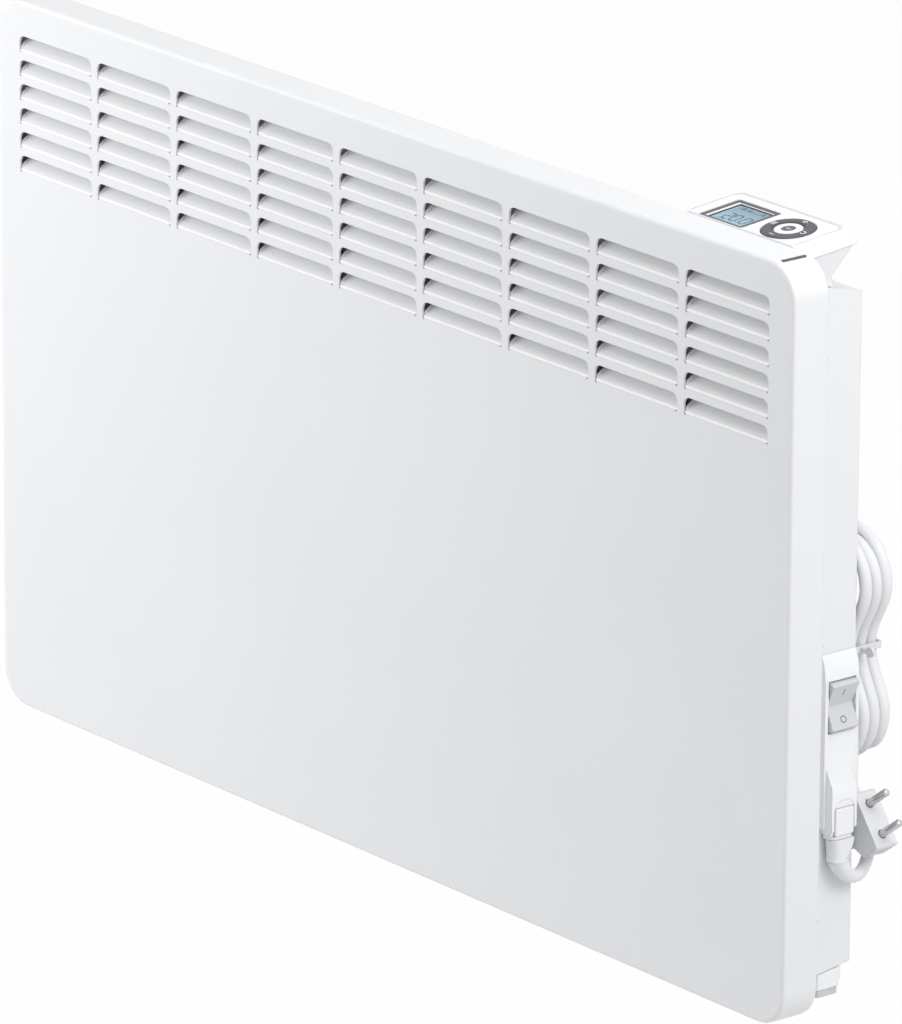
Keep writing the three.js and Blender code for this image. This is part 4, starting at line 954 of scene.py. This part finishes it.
class HEATER_OT_keys(bpy.types.Operator):
    """Finish the ring key and the centre key, and put their symbols on."""

    bl_idname = "heater.keys"
    bl_label = "Keys"

    def execute(self, context):
        sizes, colours = context.scene.heater_sizes, context.scene.heater_finishes
        paint(moulded("key_plastic", colours.keys, 0.5, 0.000008, 0.0003), "ring_key")
        paint(moulded("centre_key_plastic", colours.cover, 0.42, 0.000004, 0.0003), "ok_key")
        paint(moulded("lens_plastic", colours.lens, 0.34, 0.000003, 0.0002), "ok_lens")
        white = moulded("key_ink", colours.coat, 0.45, 0.000002, 0.00003)
        size = sizes.symbol
        place = pod_place(RING["x"], RING["v"])
        low = RING["top"] / 1000 + CLEARANCE
        low_ok = LENS_TOP / 1000 + CLEARANCE
        away = RING["marks"] / 1000
        line, arm, bend = size * 0.15, size * 0.44, size * 0.36

        def symbols(working):
            pen = Pen(working, place, low, low + sizes.ink)
            for k in (-1, 0, 1):
                pen.band([(-away - size * 0.42, k * size * 0.3), (-away + size * 0.42, k * size * 0.3)], line)
            thin = line / 2
            corner, cross = [(arm, thin), (thin, thin), (thin, arm)], []
            for _ in range(4):
                cross += corner
                corner = [(-y, x) for x, y in corner]
            pen.plate([(x, away + y) for x, y in cross])
            pen.band([(-arm, -away), (arm, -away)], line)
            arrow = arc(away, 0, bend, -150, 100, 16)
            pen.band(arrow, line)
            x, y = arrow[-1]
            pen.plate([(x, y - size * 0.2), (x, y + size * 0.2), (x - size * 0.32, y)])

        def ok_mark(working):
            pen = Pen(working, place, low_ok, low_ok + sizes.ink)
            half, width = 0.0008, 0.00028
            pen.band([(-0.0011 + x * half * 0.62, y * half) for x, y in circle(0, 0, 1, 18)], width, True)
            pen.band([(0.0004, -half), (0.0004, half)], width)
            for end in (-half, half):
                pen.band([(0.00062, 0.0), (0.0016, end)], width)

        ring_piece = make_mesh("ring_symbols", symbols, white, "ring")
        ok_piece = make_mesh("centre_key_mark", ok_mark, white, "ok_button")
        if not (ring_piece.data.polygons and ok_piece.data.polygons):
            raise RuntimeError("the key symbols came out empty")
        return {"FINISHED"}


class HEATER_OT_rocker(bpy.types.Operator):
    """Finish the rocker switch and print its I and O."""

    bl_idname = "heater.rocker"
    bl_label = "Rocker Switch"

    def execute(self, context):
        sizes, colours = context.scene.heater_sizes, context.scene.heater_finishes
        paint(moulded("rocker_plastic", colours.rocker, 0.36, 0.000004, 0.0006), "rocker")
        ink = moulded("rocker_ink", colours.lens, 0.45, 0.000002, 0.00003)
        size = sizes.rocker_mark

        def marks(working):
            upper, lower = (Pen(working, self.on_face(share), CLEARANCE, CLEARANCE + sizes.ink)
                            for share in (0.27, -0.27))
            upper.band([(0, -size / 2), (0, size / 2)], size * 0.11)
            lower.band(circle(0, 0, size * 0.4, 28), size * 0.1, True)

        make_mesh("rocker_marks", marks, ink, "rocker_switch")
        return {"FINISHED"}

    @staticmethod
    def on_face(share):
        """Placement on the rocker's outer face, at a share of its height from the middle."""
        low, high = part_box("rocker")
        middle = (low + high) / 2
        start = Vector((high.x + 0.01, middle.y, middle.z + share * (high.z - low.z)))
        hit, spot, normal, _ = NODES["rocker"].ray_cast(start, Vector((-1, 0, 0)))
        if not hit:
            raise RuntimeError("no rocker face found for its marks")
        right = Vector((0, 1, 0))
        up = normal.cross(right).normalized()
        turn = Matrix((right, up, normal)).transposed().to_4x4()
        return Matrix.Translation(spot) @ turn


class HEATER_OT_metal_parts(bpy.types.Operator):
    """Finish the wall bracket, catches, screws and the parts of the heating element."""

    bl_idname = "heater.metal_parts"
    bl_label = "Metal Parts"

    def execute(self, context):
        colours = context.scene.heater_finishes
        paint(plated("bracket_bar_zinc", colours.zinc, (12, 1, 1)), "crossbar_upper", "crossbar_lower")
        paint(plated("bracket_upright_zinc", colours.zinc, (1, 1, 12)), "upright_left", "upright_right")
        paint(moulded("catch_nylon", colours.catch, 0.48), "top_latch_left", "top_latch_right")
        paint(powder_coat("screw_lacquer", colours.coat), *(n for n in NODES if n.startswith("flange_screw")))
        paint(plated("screw_zinc", colours.zinc, roughness=0.3),
              *(n for n in NODES if n.startswith(("pod_screw", "side_screw"))))
        paint(plated("element_aluminium", colours.aluminium, (12, 1, 1), 0.42), "heating_element")
        paint(plated("inner_sheet", colours.inner, (12, 1, 1), 0.4),
              "heat_shield", "element_plate_left", "element_plate_right")
        return {"FINISHED"}


class HEATER_OT_stage(bpy.types.Operator):
    """Set up the plain pale studio: floor, surrounding light and lamps."""

    bl_idname = "heater.stage"
    bl_label = "Stage"

    def execute(self, context):
        values = context.scene.heater_stage
        self.surround(context, values)
        self.floor(context, values)
        powers = (values.key_power, values.top_power, values.side_power)
        for (name, (spot, target, size)), power in zip(LAMPS.items(), powers):
            self.lamp(context, name, spot, target, size, power)
        return {"FINISHED"}

    @staticmethod
    def white_where_seen(tree, lit, white, surface, share):
        """Mix a shader with white by a share where the camera sees it, also in gloss and through glass."""
        rays = tree.nodes.new("ShaderNodeLightPath")
        seen = rays.outputs["Is Camera Ray"]
        for name in ("Is Glossy Ray", "Is Transmission Ray"):
            larger = tree.nodes.new("ShaderNodeMath")
            larger.operation = "MAXIMUM"
            tree.links.new(seen, larger.inputs[0])
            tree.links.new(rays.outputs[name], larger.inputs[1])
            seen = larger.outputs["Value"]
        part = tree.nodes.new("ShaderNodeMath")
        part.operation = "MULTIPLY"
        part.inputs[1].default_value = share
        tree.links.new(seen, part.inputs[0])
        mix = tree.nodes.new("ShaderNodeMixShader")
        for source, target in zip((part, lit, white), mix.inputs):
            tree.links.new(source.outputs[0], target)
        tree.links.new(mix.outputs[0], surface)

    def surround(self, context, values):
        world = bpy.data.worlds.new("studio")
        world.use_nodes = True
        tree = world.node_tree
        lit = tree.nodes["Background"]
        white = tree.nodes.new("ShaderNodeBackground")
        for node, strength in ((lit, values.sky), (white, 1.0)):
            node.inputs["Color"].default_value = (1, 1, 1, 1)
            node.inputs["Strength"].default_value = strength
        self.white_where_seen(tree, lit, white, tree.nodes["World Output"].inputs["Surface"], 1.0)
        context.scene.world = world

    def floor(self, context, values):
        mesh = bpy.data.meshes.new("studio_floor")
        corners = [(x * FLOOR_REACH, y * FLOOR_REACH, values.floor_height)
                   for x, y in ((-1, -1), (1, -1), (1, 1), (-1, 1))]
        mesh.from_pydata(corners, [], [(0, 1, 2, 3)])
        floor = bpy.data.objects.new("studio_floor", mesh)
        context.scene.collection.objects.link(floor)
        finish = Finish("studio_floor_paint", values.floor, 0.9, specular=0.1)
        white = finish.add("ShaderNodeEmission", {"Color": (1, 1, 1, 1), "Strength": 1.0})
        surface = finish.tree.nodes["Material Output"].inputs["Surface"]
        self.white_where_seen(finish.tree, finish.shader, white, surface, FLOOR_GLOW)
        mesh.materials.append(finish.material)

    @staticmethod
    def lamp(context, name, spot, target, size, power):
        data = bpy.data.lights.new(name, "AREA")
        data.shape = "SQUARE"
        data.size = size
        data.energy = power
        lamp = bpy.data.objects.new(name, data)
        lamp.location = spot
        lamp.rotation_euler = (Vector(target) - Vector(spot)).to_track_quat("-Z", "Y").to_euler()
        context.scene.collection.objects.link(lamp)


OPERATORS = (
    HEATER_OT_camera, HEATER_OT_power_lead, HEATER_OT_sheet_metal, HEATER_OT_plastics, HEATER_OT_display,
    HEATER_OT_keys, HEATER_OT_rocker, HEATER_OT_metal_parts, HEATER_OT_stage,
)


class HEATER_PT_panel(bpy.types.Panel):
    """Sidebar panel with the heater's values and steps."""

    bl_idname = "HEATER_PT_panel"
    bl_label = "Heater"
    bl_space_type = "VIEW_3D"
    bl_region_type = "UI"
    bl_category = "Heater"

    def draw(self, context):
        for group in (context.scene.heater_finishes, context.scene.heater_sizes, context.scene.heater_stage):
            box = self.layout.box()
            for name in group.bl_rna.properties.keys():
                if name not in ("rna_type", "name"):
                    box.prop(group, name)
        for operator in OPERATORS:
            self.layout.operator(operator.bl_idname)


CLASSES = (HeaterFinishes, HeaterSizes, HeaterStage, *OPERATORS, HEATER_PT_panel)
GROUPS = {"heater_finishes": HeaterFinishes, "heater_sizes": HeaterSizes, "heater_stage": HeaterStage}


def register():
    for item in CLASSES:
        bpy.utils.register_class(item)
    for name, group in GROUPS.items():
        setattr(bpy.types.Scene, name, bpy.props.PointerProperty(type=group))


def unregister():
    for name in GROUPS:
        delattr(bpy.types.Scene, name)
    for item in reversed(CLASSES):
        bpy.utils.unregister_class(item)


def main():
    register()
    bpy.context.scene.view_settings.view_transform = "Standard"
    for node in NODES.values():
        smooth_curves(node)
    bpy.ops.heater.camera()
    bpy.ops.heater.power_lead()
    bpy.ops.heater.sheet_metal()
    bpy.ops.heater.plastics()
    bpy.ops.heater.display()
    bpy.ops.heater.keys()
    bpy.ops.heater.rocker()
    bpy.ops.heater.metal_parts()
    bpy.ops.heater.stage()


if __name__ == "__main__":
    main()
